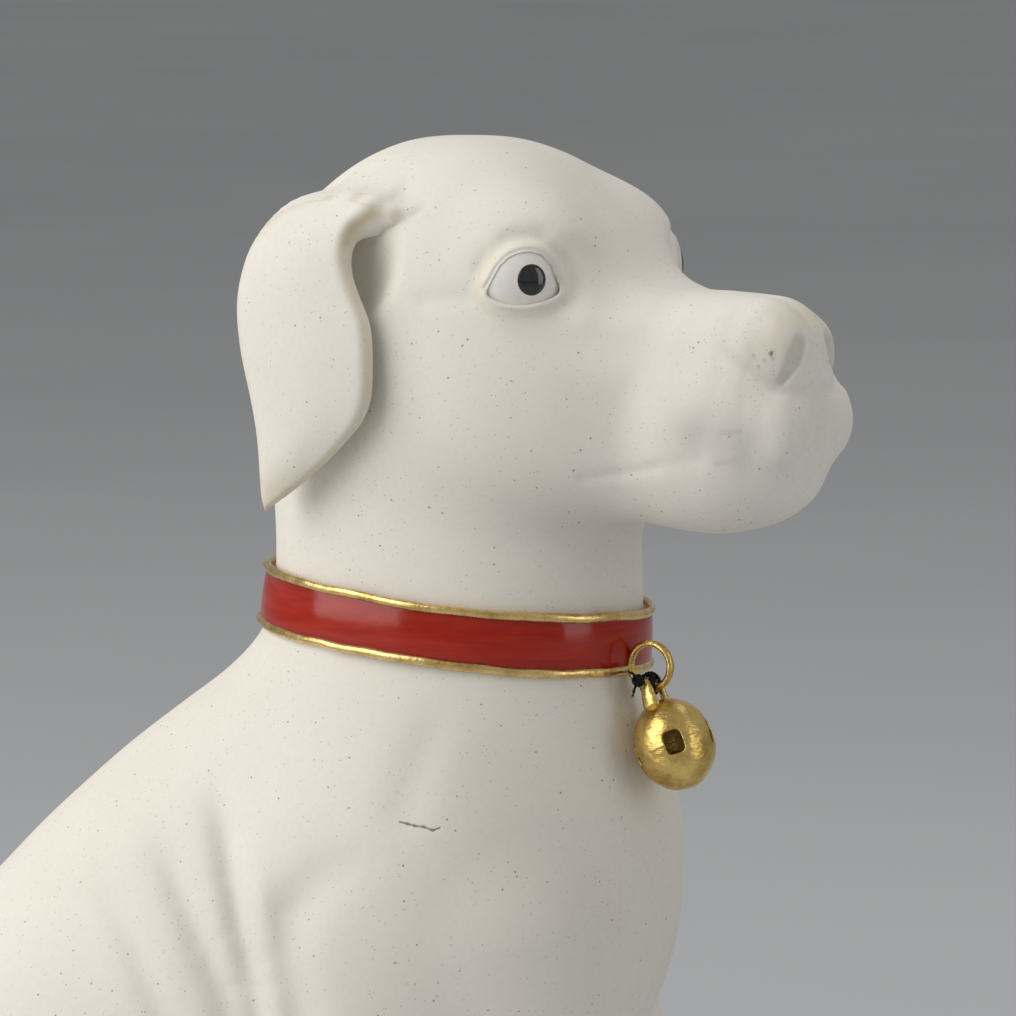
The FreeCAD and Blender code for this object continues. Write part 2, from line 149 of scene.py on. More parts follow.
def sight(q):
    """Where the camera sees a point given in head coordinates, in millimetres across the picture."""
    s, r, h = q[:, 0], q[:, 1], q[:, 2] - 209.4
    k = 1250.0 / (1300.0 - 0.5266 * s - 0.8424 * r - 0.1115 * h)
    across = -10.16 + 0.848 * s - 0.530 * r
    up = 0.9938 * h - 0.0591 * s - 0.0945 * r
    return np.stack([across * k, up * k, np.zeros_like(across)], 1)


def on_picture(line):
    """(right, down) places in the 1016 px frame, in millimetres across the picture."""
    return [((u - PX_MIDDLE) / PX_PER_MM, (PX_MIDDLE - v) / PX_PER_MM, 0.0) for u, v in line]


def drawn(q, line):
    """Distance, as the camera sees it, to a line of places in the frame."""
    return track(sight(q), on_picture(line))


def mirror(p):
    return np.stack([p[:, 0], np.abs(p[:, 1]), p[:, 2]], 1)


def curve_table(rows, samples=600):
    """Smooth columns over the first one, by cubic pieces with averaged slopes."""
    rows = np.array(sorted(rows), float)
    xs = rows[:, 0]
    at = np.linspace(xs[0], xs[-1], samples)
    columns = [at]
    for c in range(1, rows.shape[1]):
        ys = rows[:, c]
        chord = np.diff(ys) / np.diff(xs)
        slope = np.concatenate([[chord[0]], np.zeros(len(xs) - 2), [chord[-1]]])
        for i in range(1, len(xs) - 1):
            w0, w1 = xs[i] - xs[i - 1], xs[i + 1] - xs[i]
            slope[i] = (chord[i - 1] * w1 + chord[i] * w0) / (w0 + w1)
        i = np.clip(np.searchsorted(xs, at, side="right") - 1, 0, len(xs) - 2)
        h = xs[i + 1] - xs[i]
        t = (at - xs[i]) / h
        columns.append((2 * t ** 3 - 3 * t ** 2 + 1) * ys[i] + (t ** 3 - 2 * t ** 2 + t) * h * slope[i]
                       + (-2 * t ** 3 + 3 * t ** 2) * ys[i + 1] + (t ** 3 - t ** 2) * h * slope[i + 1])
    return np.array(columns)


def loft(station, along, across, table):
    """Field of a body of oval sections. Columns: station, middle, plus, minus, half width, power."""
    middle, plus, minus, half, power = (np.interp(station, table[0], table[i]).astype(np.float32)
                                        for i in range(1, 6))
    q = along - middle
    reach = np.where(q > 0, plus, minus)
    g = (np.abs(q / reach) ** power + np.abs(across / half) ** power) ** (1.0 / power)
    size = np.sqrt(q * q + across * across) + 1e-4
    d = size * (1.0 - 1.0 / np.maximum(g, 1e-3))
    beyond = np.maximum(station - table[0][-1], table[0][0] - station)
    return np.maximum(d, beyond)


# The head

# forward, height of the widest line, rise above it, fall below it, half width, power
HEAD_ROWS = curve_table((
    (-41.5, 241, 3.0, 3.0, 3.0, 2.0),
    (-40.5, 241, 9.0, 8.0, 9.5, 2.0),
    (-38.0, 241, 16.0, 14.0, 16.0, 2.05),
    (-32.0, 242, 25.5, 22.0, 24.5, 2.1),
    (-22.0, 243, 33.5, 32.0, 31.0, 2.15),
    (-10.0, 244, 38.6, 38.0, 34.6, 2.2),
    (2.0, 244, 40.0, 40.0, 36.0, 2.2),
    (14.0, 243, 40.2, 39.0, 35.8, 2.2),
    (24.0, 242, 37.5, 36.0, 34.4, 2.25),
    (31.0, 241, 33.5, 33.0, 32.4, 2.3),
    (38.0, 239, 29.0, 30.0, 29.4, 2.35),
    (46.0, 235, 24.0, 25.5, 25.3, 2.45),
    (53.0, 232, 23.9, 22.6, 22.4, 2.5),
    (62.0, 230, 25.4, 20.6, 20.4, 2.5),
    (70.0, 230, 24.8, 18.8, 18.8, 2.45),
    (75.0, 231, 22.2, 17.0, 16.8, 2.35),
    (79.0, 232, 17.0, 14.0, 13.4, 2.2),
    (81.5, 233, 13.0, 10.0, 9.0, 2.1),
    (83.0, 233, 5.0, 5.0, 4.0, 2.0),
))
# height, middle, front, back, half width, power
NECK_ROWS = curve_table((
    (176.0, 0, 39.2, 41.0, 34.4, 2.1),
    (182.0, 0, 38.4, 39.0, 33.6, 2.1),
    (190.0, 0, 38.0, 37.6, 33.2, 2.1),
    (198.0, 0, 37.8, 36.9, 33.0, 2.1),
    (206.0, 0, 37.2, 36.9, 33.1, 2.1),
    (214.0, 0, 35.0, 37.4, 33.4, 2.1),
    (224.0, 0, 31.0, 38.2, 33.4, 2.1),
    (236.0, 0, 24.0, 37.0, 30.0, 2.1),
    (244.0, 0, 16.0, 30.0, 22.0, 2.1),
))

EYE = np.array([31.3, 21.9, 258.4])
EYE_R = 10.4
# the ball's middle from EYE: towards the nose, up, outward; and the pupil's turn from straight ahead
BALL = (-3.6, -0.5, -1.9)
PUPIL_OUT = math.radians(37.8)
EYE_OUT = math.radians(58.0)
EYE_N = np.array([math.cos(EYE_OUT), math.sin(EYE_OUT), 0.0])
EYE_A = np.array([math.sin(EYE_OUT), -math.cos(EYE_OUT), 0.0])

# The eye's opening as points (towards the nose, up), round from the outer corner
LID_POINTS = np.array([(-8.8, -2.8), (-7.8, -0.2), (-6.3, 2.5), (-4.2, 4.4), (-1.4, 5.2), (1.5, 4.6),
                       (3.5, 2.2), (4.5, -0.2), (5.2, -2.3), (4.2, -3.4), (1.7, -4.3), (-2.1, -4.9),
                       (-6.0, -4.4)])


def closed_line(points, per_side=8):
    """A smooth closed line through the points (Catmull-Rom)."""
    n = len(points)
    out = []
    for i in range(n):
        p0, p1, p2, p3 = (points[(i + j - 1) % n] for j in range(4))
        for t in np.arange(per_side) / per_side:
            out.append(0.5 * ((2 * p1) + (p2 - p0) * t + (2 * p0 - 5 * p1 + 4 * p2 - p3) * t ** 2
                              + (-p0 + 3 * p1 - 3 * p2 + p3) * t ** 3))
    return np.array(out)


def line_distance(a, b, line):
    """Distance from points (a, b) to a closed line, negative inside it."""
    best = np.full(a.shape, 1e9, np.float32)
    inside = np.zeros(a.shape, bool)
    ends = np.roll(line, -1, 0)
    for (x0, y0), (x1, y1) in zip(line, ends):
        dx, dy = x1 - x0, y1 - y0
        t = np.clip(((a - x0) * dx + (b - y0) * dy) / (dx * dx + dy * dy + 1e-12), 0, 1)
        best = np.minimum(best, (a - x0 - t * dx) ** 2 + (b - y0 - t * dy) ** 2)
        crosses = (y0 > b) != (y1 > b)
        inside ^= crosses & (a < (b - y0) * dx / (dy if abs(dy) > 1e-9 else 1e-9) + x0)
    d = np.sqrt(best)
    return np.where(inside, -d, d)


LID_LINE = closed_line(LID_POINTS)


def eye_local(m):
    """Coordinates on the eye of the mirrored point: towards the nose, up, outward."""
    q = m - EYE.astype(np.float32)
    return q @ EYE_A.astype(np.float32), q[:, 2], q @ EYE_N.astype(np.float32)


def head_field(p):
    """The head with its neck, without the ears. p is in head coordinates."""
    m = mirror(p)
    s, r, z = p[:, 0], m[:, 1], p[:, 2]
    d = loft(s, z, p[:, 1], HEAD_ROWS)
    # brow domes, with the shallow valley between them
    d = smin(d, blob(m, (24.8, 15.0, 259.6), (16.0, 14.2, 15.0)), 5.0)
    # cheeks and jaw corners
    d = smin(d, blob(m, (20.0, 15.0, 232.0), (27.0, 17.0, 22.0)), 9.0)
    # upper lips: a full side form that ends in a round bulge beside the nose's groove
    d = smin(d, blob(m, (62.0, 8.6, 229.0), (17.5, 12.0, 13.5)), 6.0)
    d = smin(d, blob(m, (74.2, 9.0, 230.4), (10.2, 8.0, 10.2)), 1.6)
    # lower lip and chin
    d = smin(d, blob(m, (63.0, 3.0, 220.5), (17.0, 12.0, 10.6)), 5.0)
    # nose pad
    nose = blob(m, (73.0, 2.6, 245.0), (9.4, 8.4, 8.8))
    d = smin(d, nose, 3.0)
    wing = blob(m, (75.6, 7.0, 243.6), (5.6, 4.8, 6.8), pitch=-14.0)
    d = smin(d, wing, 2.2)
    # neck
    neck = loft(z, s, p[:, 1], NECK_ROWS)
    d = smin(d, neck, 7.0)
    # soft hollow under the bridge between eye and lip, and at the eye's inner corner
    d = smax(d, -blob(m, (50.0, 33.5, 249.0), (17.0, 9.5, 7.0), yaw=-14.0, pitch=-14.0), 6.0)
    d = smax(d, -blob(m, (42.6, 28.0, 258.0), (6.5, 5.4, 7.5)), 3.5)
    d = smax(d, -blob(m, (49.0, 21.5, 261.5), (10.0, 9.5, 9.5)), 4.0)
    # cheek hollow, mouth line and the long wrinkle behind the eye
    aside = step(r, 5.0, 12.0)
    d = d + 1.8 * aside * hump(drawn(m, ((706, 442), (744, 452))), 5.6)
    d = d + 0.26 * aside * hump(drawn(m, ((583, 478), (620, 474), (655, 468))), 1.2)
    d = d + 0.14 * aside * hump(drawn(m, ((660, 467), (700, 459))), 1.6)
    d = d + 0.45 * aside * hump(drawn(m, ((489, 294), (462, 298), (425, 301))), 2.1)
    d = d + 0.8 * aside * hump(drawn(m, ((486, 266), (508, 248), (540, 243), (562, 258))), 2.4)
    # groove from the muzzle's side to the nostril and on under the nose
    flank = step(r, 0.3, 3.0) * step(PX_MIDDLE + PX_PER_MM * sight(m)[:, 0], 712.0, 766.0)
    side = drawn(m, ((698, 331), (722, 347), (750, 366), (778, 385), (798, 393), (816, 390)))
    d = d + 1.15 * flank * hump(side, 1.3)
    side = drawn(m, ((698, 341), (716, 352), (744, 374), (772, 394), (784, 399)))
    d = d - 0.25 * flank * hump(side, 1.6)
    # nostrils: a shallow comma, and a small pit behind it
    pit = trail(m, ((81.8, 5.2, 246.6), (81.7, 7.2, 243.4), (80.2, 9.6, 239.8)), (1.5, 1.7, 0.9), 1.0)
    d = smax(d, -pit, 1.2)
    d = smax(d, -rod(m, (79.6, 12.2, 244.9), (75.0, 8.4, 244.6), 0.42, 0.35), 0.3)
    # the groove between the lips, under the nose
    part = track(p, ((84.6, 0.0, 239.0), (83.2, 0.0, 233.0), (80.6, 0.0, 226.0), (78.5, 0.0, 219.5)))
    d = d + 2.0 * hump(part, 2.3)
    # the ear's hollow, under the fold
    d = smax(d, -blob(m, (-3.0, 36.5, 261.5), (9.6, 8.0, 12.0)), 4.0)
    # eyes
    a, b, n = eye_local(m)
    near = (a * a + b * b < 20.0 ** 2) & (n > 0.0)
    if near.any():
        i = np.nonzero(near)[0]
        ai, bi, ni, di = a[i], b[i], n[i], d[i]
        ring = line_distance(ai, bi, LID_LINE)
        shell = np.sqrt((ai - BALL[0]) ** 2 + (bi - BALL[1]) ** 2 + (ni - BALL[2]) ** 2)
        # the face falls in above the ball and towards the nose
        inward = step(0.8 * ai + 0.6 * bi, -3.0, 4.0)
        di = di + 1.2 * inward * hump(ring - 2.2, 2.6)
        # thin skin over the ball round the opening
        lids = smax(shell - (EYE_R + 0.30), ring - 1.6, 1.4)
        di = smin(di, lids, 2.6)
        # thin lower lid, and the crease above it
        low = step(-bi, 1.0, 3.2)
        di = di - 0.30 * low * hump(ring - 0.6, 0.5)
        di = di + 0.35 * (1.0 - low) * hump(ring - 0.5, 0.5)
        # the opening, down to just behind the eyeball's face
        hole = smax(ring, (EYE_R - 0.7) - shell, 0.3)
        di = smax(di, -hole, 0.35)
        d = d.copy()
        d[i] = di
    return d


# The ear from its tip up and over the fold: distance out, height, back edge, front edge, half thickness
EAR_LINE = curve_table([(i, *row) for i, row in enumerate((
    (37.9, 211.8, -21.2, -19.6, 0.8),
    (38.4, 214.0, -22.1, -16.0, 1.1),
    (39.1, 217.0, -22.3, -11.6, 1.3),
    (40.0, 221.5, -22.1, -5.6, 1.5),
    (40.6, 226.0, -22.2, -0.6, 1.6),
    (41.0, 230.0, -22.6, 3.2, 1.7),
    (41.3, 235.0, -23.5, 5.4, 1.8),
    (41.3, 242.0, -25.2, 5.7, 1.9),
    (40.8, 249.0, -26.4, 4.8, 2.0),
    (40.1, 254.0, -26.6, 2.2, 2.1),
    (39.0, 258.5, -26.0, -0.4, 2.3),
    (37.4, 262.5, -24.5, -1.8, 2.6),
    (35.0, 266.2, -21.9, -1.9, 2.9),
    (31.4, 269.4, -18.9, 0.4, 3.0),
    (26.6, 271.2, -15.6, 1.6, 2.8),
    (21.4, 272.2, -12.4, -0.6, 2.4),
    (16.0, 272.4, -10.0, -3.0, 2.0),
))], 49)


def ear_nearest(r, z):
    """Distance to the ear's line, and the place along it."""
    best = np.full(r.shape, 1e9, np.float32)
    at = np.zeros(r.shape, np.float32)
    for i in range(EAR_LINE.shape[1] - 1):
        (out, up), (out_next, up_next) = EAR_LINE[1:3, i], EAR_LINE[1:3, i + 1]
        do, du = out_next - out, up_next - up
        t = np.clip(((r - out) * do + (z - up) * du) / (do * do + du * du), 0.0, 1.0)
        gap = (r - out - t * do) ** 2 + (z - up - t * du) ** 2
        closer = gap < best
        best = np.where(closer, gap, best)
        at = np.where(closer, i + t, at)
    return np.sqrt(best), at


def ear_flap(s, r, z):
    index = np.arange(EAR_LINE.shape[1])
    at = ear_nearest(r, z)[1]
    back, front = np.interp(at, index, EAR_LINE[3]), np.interp(at, index, EAR_LINE[4])
    middle = (back + front) / 2.0
    span = np.maximum((front - back) / 2.0, 0.4)
    t = (s - middle) / span
    # the flap is cupped: both edges turn in towards the neck, the back one more
    hanging = 1.0 - step(z, 256.0, 274.0)
    shift = 3.0 * np.clip(-t, 0, 1.2) ** 3 + 1.2 * np.clip(t, 0, 1.2) ** 3
    shift = shift - 0.8 * hump(t - 0.1, 0.5) * step(z, 214.0, 226.0)
    gap, at = ear_nearest(r + shift * hanging, z)
    flat = gap - np.interp(at, index, EAR_LINE[5])
    return smax(flat, np.abs(s - middle) - span, 1.8)


def ear_field(p):
    """One folded ear, of the mirrored point."""
    m = mirror(p)
    s, r, z = m[:, 0], m[:, 1], m[:, 2]
    d = np.maximum(np.maximum(np.abs(s + 9.0) - 21.0, np.abs(r - 29.5) - 17.0), np.abs(z - 243.5) - 35.0)
    close = np.nonzero(d < 5.0)[0]
    if len(close):
        d = d.copy()
        d[close] = ear_flap(s[close], r[close], z[close])
    # the front end of the fold, running out on the head
    fold = trail(m, ((-5.0, 29.0, 270.6), (0.0, 30.0, 269.6), (3.6, 29.4, 269.6), (6.6, 28.0, 270.0)),
                 (2.7, 2.3, 1.6, 0.6), 2.0)
    return smin(d, fold, 4.0)


def head_and_ears(p):
    d, e = head_field(p), ear_field(p)
    m = mirror(p)
    k = 0.35 + 3.6 * step(m[:, 2], 267.5, 272.5)
    return smin(d, e, k)


# The body

# height, middle, front, back, half width, power; measured from the neck's axis
TORSO_ROWS = curve_table((
    (0.0, 0, -30.0, 145.0, 39.0, 2.2),
    (15.0, 0, -25.0, 150.0, 42.5, 2.2),
    (30.0, 0, -17.0, 151.5, 44.5, 2.2),
    (45.0, 0, -7.0, 149.5, 46.0, 2.2),
    (60.0, 0, 5.0, 145.0, 48.0, 2.2),
    (75.0, 0, 17.0, 138.0, 49.5, 2.2),
    (90.0, 0, 30.0, 130.0, 50.4, 2.15),
    (105.0, 0, 38.6, 120.0, 50.6, 2.1),
    (120.0, 0, 43.8, 108.0, 50.2, 2.1),
    (135.0, 0, 45.4, 94.0, 48.8, 2.1),
    (145.0, 0, 45.4, 84.5, 47.0, 2.1),
    (153.0, 0, 44.4, 76.0, 45.0, 2.1),
    (161.0, 0, 42.6, 67.0, 42.2, 2.1),
    (169.0, 0, 40.6, 56.8, 39.4, 2.1),
    (176.0, 0, 39.4, 47.8, 36.6, 2.1),
    (182.0, 0, 38.8, 42.0, 34.6, 2.1),
    (190.0, 0, 38.2, 37.6, 33.4, 2.1),
    (200.0, 0, 38.0, 36.8, 33.2, 2.1),
))
TORSO_TURN = curve_table(((0.0, 0.0), (140.0, 0.0), (152.0, 0.10), (160.4, 0.25), (169.0, 0.45),
                          (176.0, 0.70), (182.1, 0.90), (188.5, 1.0), (230.0, 1.0)))


def torso_field(p):
    angle = np.radians(HEAD_TURN * np.interp(p[:, 2], TORSO_TURN[0], TORSO_TURN[1])).astype(np.float32)
    x, y = p[:, 0], p[:, 1] - NECK_Y
    forward = -x * np.sin(angle) - y * np.cos(angle)
    right = -x * np.cos(angle) + y * np.sin(angle)
    # the section runs from front to back about its own middle
    front, back, half, power = (np.interp(p[:, 2], TORSO_ROWS[0], TORSO_ROWS[i]) for i in range(2, 6))
    middle, reach = (front - back) / 2.0, (front + back) / 2.0
    q = forward - middle
    g = (np.abs(q / reach) ** power + np.abs(right / half) ** power) ** (1.0 / power)
    size = np.sqrt(q * q + right * right) + 1e-4
    d = size * (1.0 - 1.0 / np.maximum(g, 1e-3))
    return np.maximum(d, -p[:, 2])


def side_flip(p, side):
    """Row-frame point with the chosen side turned to +X."""
    return np.stack([p[:, 0] * side, p[:, 1], p[:, 2]], 1)


def add_toes(d, q, foot, spread, reaches, radii):
    """Four toes about a foot's front, the middle two with the first of the two reaches."""
    x, y, z = foot
    for i, aside in enumerate(spread):
        reach = reaches[0] if i in (1, 2) else reaches[1]
        d = smin(d, blob(q, (x + aside, y - reach, z), radii), 1.6)
    return d


def foreleg_field(p, side):
    q = side_flip(p, side)
    d = trail(q, ((26.0, -70.0, 128.0), (25.0, -76.0, 92.0), (22.0, -79.5, 58.0), (21.0, -80.5, 26.0),
                  (21.0, -83.0, 12.0)), (20.0, 16.5, 12.6, 11.4, 11.6), 8.0)
    d = smin(d, blob(q, (22.0, -80.5, 40.0), (11.6, 12.6, 13.0)), 6.0)
    # paw and four toes
    d = smin(d, blob(q, (20.5, -88.0, 8.0), (14.0, 16.0, 10.0)), 5.0)
    return add_toes(d, q, (20.5, -98.5, 6.6), (-9.6, -3.4, 3.4, 9.6), (1.5, -1.5), (4.1, 11.0, 6.8))


def haunch_field(p, side):
    q = side_flip(p, side)
    d = blob(q, (40.0, 36.0, 50.0), (22.5, 50.0, 46.0), pitch=-4.0)
    d = smin(d, blob(q, (41.0, 2.0, 52.0), (18.0, 26.0, 24.0)), 10.0)
    # hock and hind foot
    d = smin(d, rod(q, (44.0, 40.0, 12.0), (44.0, -14.0, 9.0), 12.0, 9.5), 5.0)
    return add_toes(d, q, (43.5, -25.0, 6.2), (-9.0, -3.2, 3.2, 9.0), (1.2, -1.6), (4.0, 10.5, 6.4))


TAIL_POINTS = ((-2.0, 86.0, 11.0), (-13.0, 104.0, 9.6), (-31.0, 113.0, 9.0), (-50.0, 110.0, 8.4),
               (-64.5, 96.5, 7.7), (-71.0, 76.0, 6.9), (-71.5, 53.0, 6.0), (-70.0, 33.0, 4.8),
               (-68.0, 19.5, 3.4))
TAIL_RADII = (10.5, 9.4, 8.8, 8.2, 7.5, 6.7, 5.8, 4.6, 3.2)


def tail_field(p):
    return trail(p, TAIL_POINTS, TAIL_RADII, 3.0)


def body_parts(p):
    """The fields of the separate clay pieces, in the order of BODY_PIECES."""
    return [torso_field(p), foreleg_field(p, -1.0), foreleg_field(p, 1.0),
            haunch_field(p, -1.0), haunch_field(p, 1.0), tail_field(p)]


BODY_PIECES = ("torso", "right_foreleg", "left_foreleg", "right_haunch", "left_haunch", "tail")


# Furrows of the flank as the camera sees them: places, depth, width. Minus raises a ridge.
FURROWS = (
    (((150, 812), (166, 850), (183, 895), (203, 945), (222, 990), (240, 1060)), 2.2, 3.4),
    (((212, 770), (227, 832), (234, 877), (243, 932), (254, 987), (264, 1050)), 2.6, 3.4),
    (((236, 820), (252, 880), (262, 940), (272, 1000), (282, 1050)), -0.7, 3.0),
    (((346, 846), (312, 878), (291, 915), (286, 958), (295, 1009), (300, 1060)), 2.0, 5.2),
    (((92, 850), (110, 895), (132, 940), (152, 990), (168, 1030)), 1.2, 3.0),
    (((0, 899), (40, 897), (76, 900)), 0.35, 1.8),
    (((446, 690), (420, 760), (404, 810)), 0.7, 4.5),
)
CRACK = ((400, 822), (408, 824), (415, 826), (424, 827), (433, 830.5), (440, 828))
# how near the crack each round of smaller faces reaches
CRACK_ZONES = (5.0, 2.6, 1.4, 0.8)


def near_side(p):
    """The point taken to the dog's right side, in head coordinates."""
    return row_to_head(np.stack([-np.abs(p[:, 0]), p[:, 1], p[:, 2]], 1))


def crack_distance(p):
    away = drawn(near_side(p), CRACK)
    return np.where((p[:, 0] < -14.0) & (p[:, 1] < -30.0) & (p[:, 2] > 120.0), away, 50.0)


def body_field(p):
    torso, right_leg, left_leg, right_haunch, left_haunch, tail = body_parts(p)
    d = torso
    # shoulder masses under the skin
    for side in (-1.0, 1.0):
        q = side_flip(p, side)
        d = smin(d, blob(q, (27.0, -50.0, 126.0), (24.0, 30.0, 44.0)), 14.0)
        d = smin(d, blob(q, (30.0, -30.0, 98.0), (19.0, 22.0, 30.0)), 12.0)
    d = smin(d, right_leg, 7.0)
    d = smin(d, left_leg, 7.0)
    d = smin(d, right_haunch, 6.0)
    d = smin(d, left_haunch, 6.0)
    d = smin(d, tail, 2.5)
    # loose skin behind the shoulder, and the hollow of the shoulder itself
    seen = near_side(p)
    outer = step(np.abs(p[:, 0]), 18.0, 30.0)
    flat = sight(seen)
    down = PX_MIDDLE - PX_PER_MM * flat[:, 1]
    for line, depth, width in FURROWS:
        falls = line[-1][1] > line[0][1] + 60
        fade = step(down, line[0][1] - 14.0, line[0][1] + 80.0) if falls else 0.8
        d = d + outer * fade * depth * hump(track(flat, on_picture(line)), width)
    # the valley between the forelegs
    d = d + 3.4 * hump(p[:, 0], 7.0) * step(136.0 - p[:, 2], 0.0, 40.0) * step(-p[:, 1], 62.0, 84.0)
    d = d + 0.22 * hump(crack_distance(p), 0.18)
    d = smax(d, 0.15 - p[:, 2], 0.8)
    return d


# Meshing

CORNERS = [(i, j, k) for i in (0, 1) for j in (0, 1) for k in (0, 1)]


def sample_grid(field, low, high, pitch, block=6):
    """The field on a grid, worked out only in blocks near its surface."""
    low = np.array(low, float)
    counts = np.ceil((np.array(high, float) - low) / pitch / block).astype(int)
    size = counts * block + 1
    values = np.full(size, 1e3, np.float32)
    reach = pitch * block * 0.5
    axes = [low[a] + (np.arange(counts[a]) + 0.5) * block * pitch for a in range(3)]
    centres = np.stack(np.meshgrid(*axes, indexing="ij"), -1).reshape(-1, 3).astype(np.float32)
    rough = np.concatenate([field(c) for c in np.array_split(centres, max(1, len(centres) // 200000))])
    near = np.abs(rough) < reach * 1.7321 * 1.6 + 1.5
    inside = (rough < 0).reshape(counts)
    big = np.repeat(np.repeat(np.repeat(inside, block, 0), block, 1), block, 2)
    values[:-1, :-1, :-1][big] = -1e3
    values[-1], values[:, -1], values[:, :, -1] = 1e3, 1e3, 1e3
    cells = np.argwhere(near.reshape(counts))
    local = np.stack(np.meshgrid(*[np.arange(block + 1)] * 3, indexing="ij"), -1).reshape(-1, 3)
    for part in np.array_split(cells, max(1, len(cells) // 1500)):
        index = part[:, None, :] * block + local[None]
        flat = index.reshape(-1, 3)
        points = (low + flat * pitch).astype(np.float32)
        values[flat[:, 0], flat[:, 1], flat[:, 2]] = field(points)
    return values, low


def surface_net(field, low, high, pitch):
    """Vertices and quads of the field's zero surface."""
    v, low = sample_grid(field, low, high, pitch)
    inside = v < 0
    nx, ny, nz = (n - 1 for n in v.shape)
    count = np.zeros((nx, ny, nz), np.uint8)
    for i, j, k in CORNERS:
        count += inside[i:nx + i, j:ny + j, k:nz + k]
    cells = np.argwhere((count > 0) & (count < 8))
    number = np.full((nx, ny, nz), -1, np.int64)
    number[tuple(cells.T)] = np.arange(len(cells))
    total = np.zeros((len(cells), 3))
    hits = np.zeros(len(cells))
    for a in range(3):
        for offset in CORNERS:
            if offset[a]:
                continue
            other = list(offset)
            other[a] = 1
            v0 = v[tuple((cells + offset).T)]
            v1 = v[tuple((cells + other).T)]
            cut = (v0 < 0) != (v1 < 0)
            t = np.where(cut, v0 / np.where(cut, v0 - v1, 1.0), 0.0)
            t = np.clip(t, 0.02, 0.98)
            place = np.array(offset, float) + np.zeros((len(cells), 3))
            place[:, a] += t
            total += place * cut[:, None]
            hits += cut
    points = low + (cells + total / hits[:, None]) * pitch
    quads = []
    for a in range(3):
        b, c = (a + 1) % 3, (a + 2) % 3
        head = [slice(None)] * 3
        tail = [slice(None)] * 3
        head[a], tail[a] = slice(0, -1), slice(1, None)
        change = inside[tuple(head)] != inside[tuple(tail)]
        at = np.argwhere(change)
        at = at[(at[:, b] > 0) & (at[:, c] > 0) & (at[:, b] < v.shape[b] - 1) & (at[:, c] < v.shape[c] - 1)]
        out = inside[tuple(at.T)]
        corners = []
        for db, dc in ((0, 0), (-1, 0), (-1, -1), (0, -1)):
            cell = at.copy()
            cell[:, b] += db
            cell[:, c] += dc
            corners.append(number[tuple(cell.T)])
        quad = np.stack(corners, 1)
        quad[~out] = quad[~out][:, ::-1]
        quads.append(quad)
    return points, np.concatenate(quads)


def gradient(field, points, h=0.05):
    p = points.astype(np.float32)
    out = np.empty((len(p), 3), np.float32)
    for a in range(3):
        d = np.zeros(3, np.float32)
        d[a] = h
        out[:, a] = (field(p + d) - field(p - d)) / (2 * h)
    return out


def settle(field, points, rounds=3, limit=0.6):
    """Move points onto the field's zero surface."""
    p = points.astype(np.float32)
    for _ in range(rounds):
        g = gradient(field, p, 0.08)
        size = (g * g).sum(1) + 1e-4
        move = -(field(p) / size)[:, None] * g
        length = np.sqrt((move * move).sum(1, keepdims=True)) + 1e-9
        p = p + move * np.minimum(1.0, limit / length)
    return p


def refine(points, quads, chosen, rounds, field):
    """Split the faces that chosen(points) picks, then put the points back on the surface."""
    mesh = bpy.data.meshes.new("work")
    mesh.from_pydata(points.tolist(), [], quads.tolist())
    bm = bmesh.new()
    bm.from_mesh(mesh)
    bpy.data.meshes.remove(mesh)
    for number in range(rounds):
        co = np.array([v.co[:] for v in bm.verts], np.float32)
        hit = chosen(co, number)
        bm.verts.ensure_lookup_table()
        edges = [e for e in bm.edges if hit[e.verts[0].index] and hit[e.verts[1].index]]
        bmesh.ops.subdivide_edges(bm, edges=edges, cuts=1, use_grid_fill=True)
        bm.verts.ensure_lookup_table()
        bm.verts.index_update()
        co = np.array([v.co[:] for v in bm.verts], np.float32)
        co = settle(field, co, 2, 0.4)
        for v, c in zip(bm.verts, co.tolist()):
            v.co = c
    bmesh.ops.triangulate(bm, faces=[f for f in bm.faces if len(f.verts) > 4])
    bm.verts.index_update()
    points = np.array([v.co[:] for v in bm.verts], np.float32)
    faces = [[v.index for v in f.verts] for f in bm.faces]
    bm.free()
    return points, faces


def add_mesh(name, points_mm, faces, normals=None, attributes=None):
    """An object from row-frame points in millimetres, smooth shaded."""
    mesh = bpy.data.meshes.new(name)
    mesh.from_pydata((points_mm * MM).tolist(), [], faces)
    mesh.update()
    mesh.polygons.foreach_set("use_smooth", [True] * len(mesh.polygons))
    for key, values in (attributes or {}).items():
        layer = mesh.attributes.new(key, "FLOAT", "POINT")
        layer.data.foreach_set("value", np.asarray(values, np.float32))
    if normals is not None:
        mesh.normals_split_custom_set_from_vertices([tuple(n) for n in normals.tolist()])
    obj = bpy.data.objects.new(name, mesh)
    bpy.context.scene.collection.objects.link(obj)
    return obj


def subset(points, faces, keep, extra):
    """The faces that keep picks, with only their own points."""
    faces = [f for f, k in zip(faces, keep) if k]
    used = np.unique(np.concatenate([np.array(f) for f in faces]))
    number = np.full(len(points), -1, np.int64)
    number[used] = np.arange(len(used))
    faces = [[int(number[i]) for i in f] for f in faces]
    return points[used], faces, [e[used] for e in extra]


def face_middles(points, faces):
    return np.array([points[f].mean(0) for f in faces], np.float32)


# Materials

def new_material(name):
    material = bpy.data.materials.new(name)
    material.use_nodes = True
    tree = material.node_tree
    return material, tree, tree.nodes["Principled BSDF"]


def node(tree, kind, **settings):
    made = tree.nodes.new(kind)
    for key, value in settings.items():
        if key in made.inputs:
            made.inputs[key].default_value = value
        else:
            setattr(made, key, value)
    return made


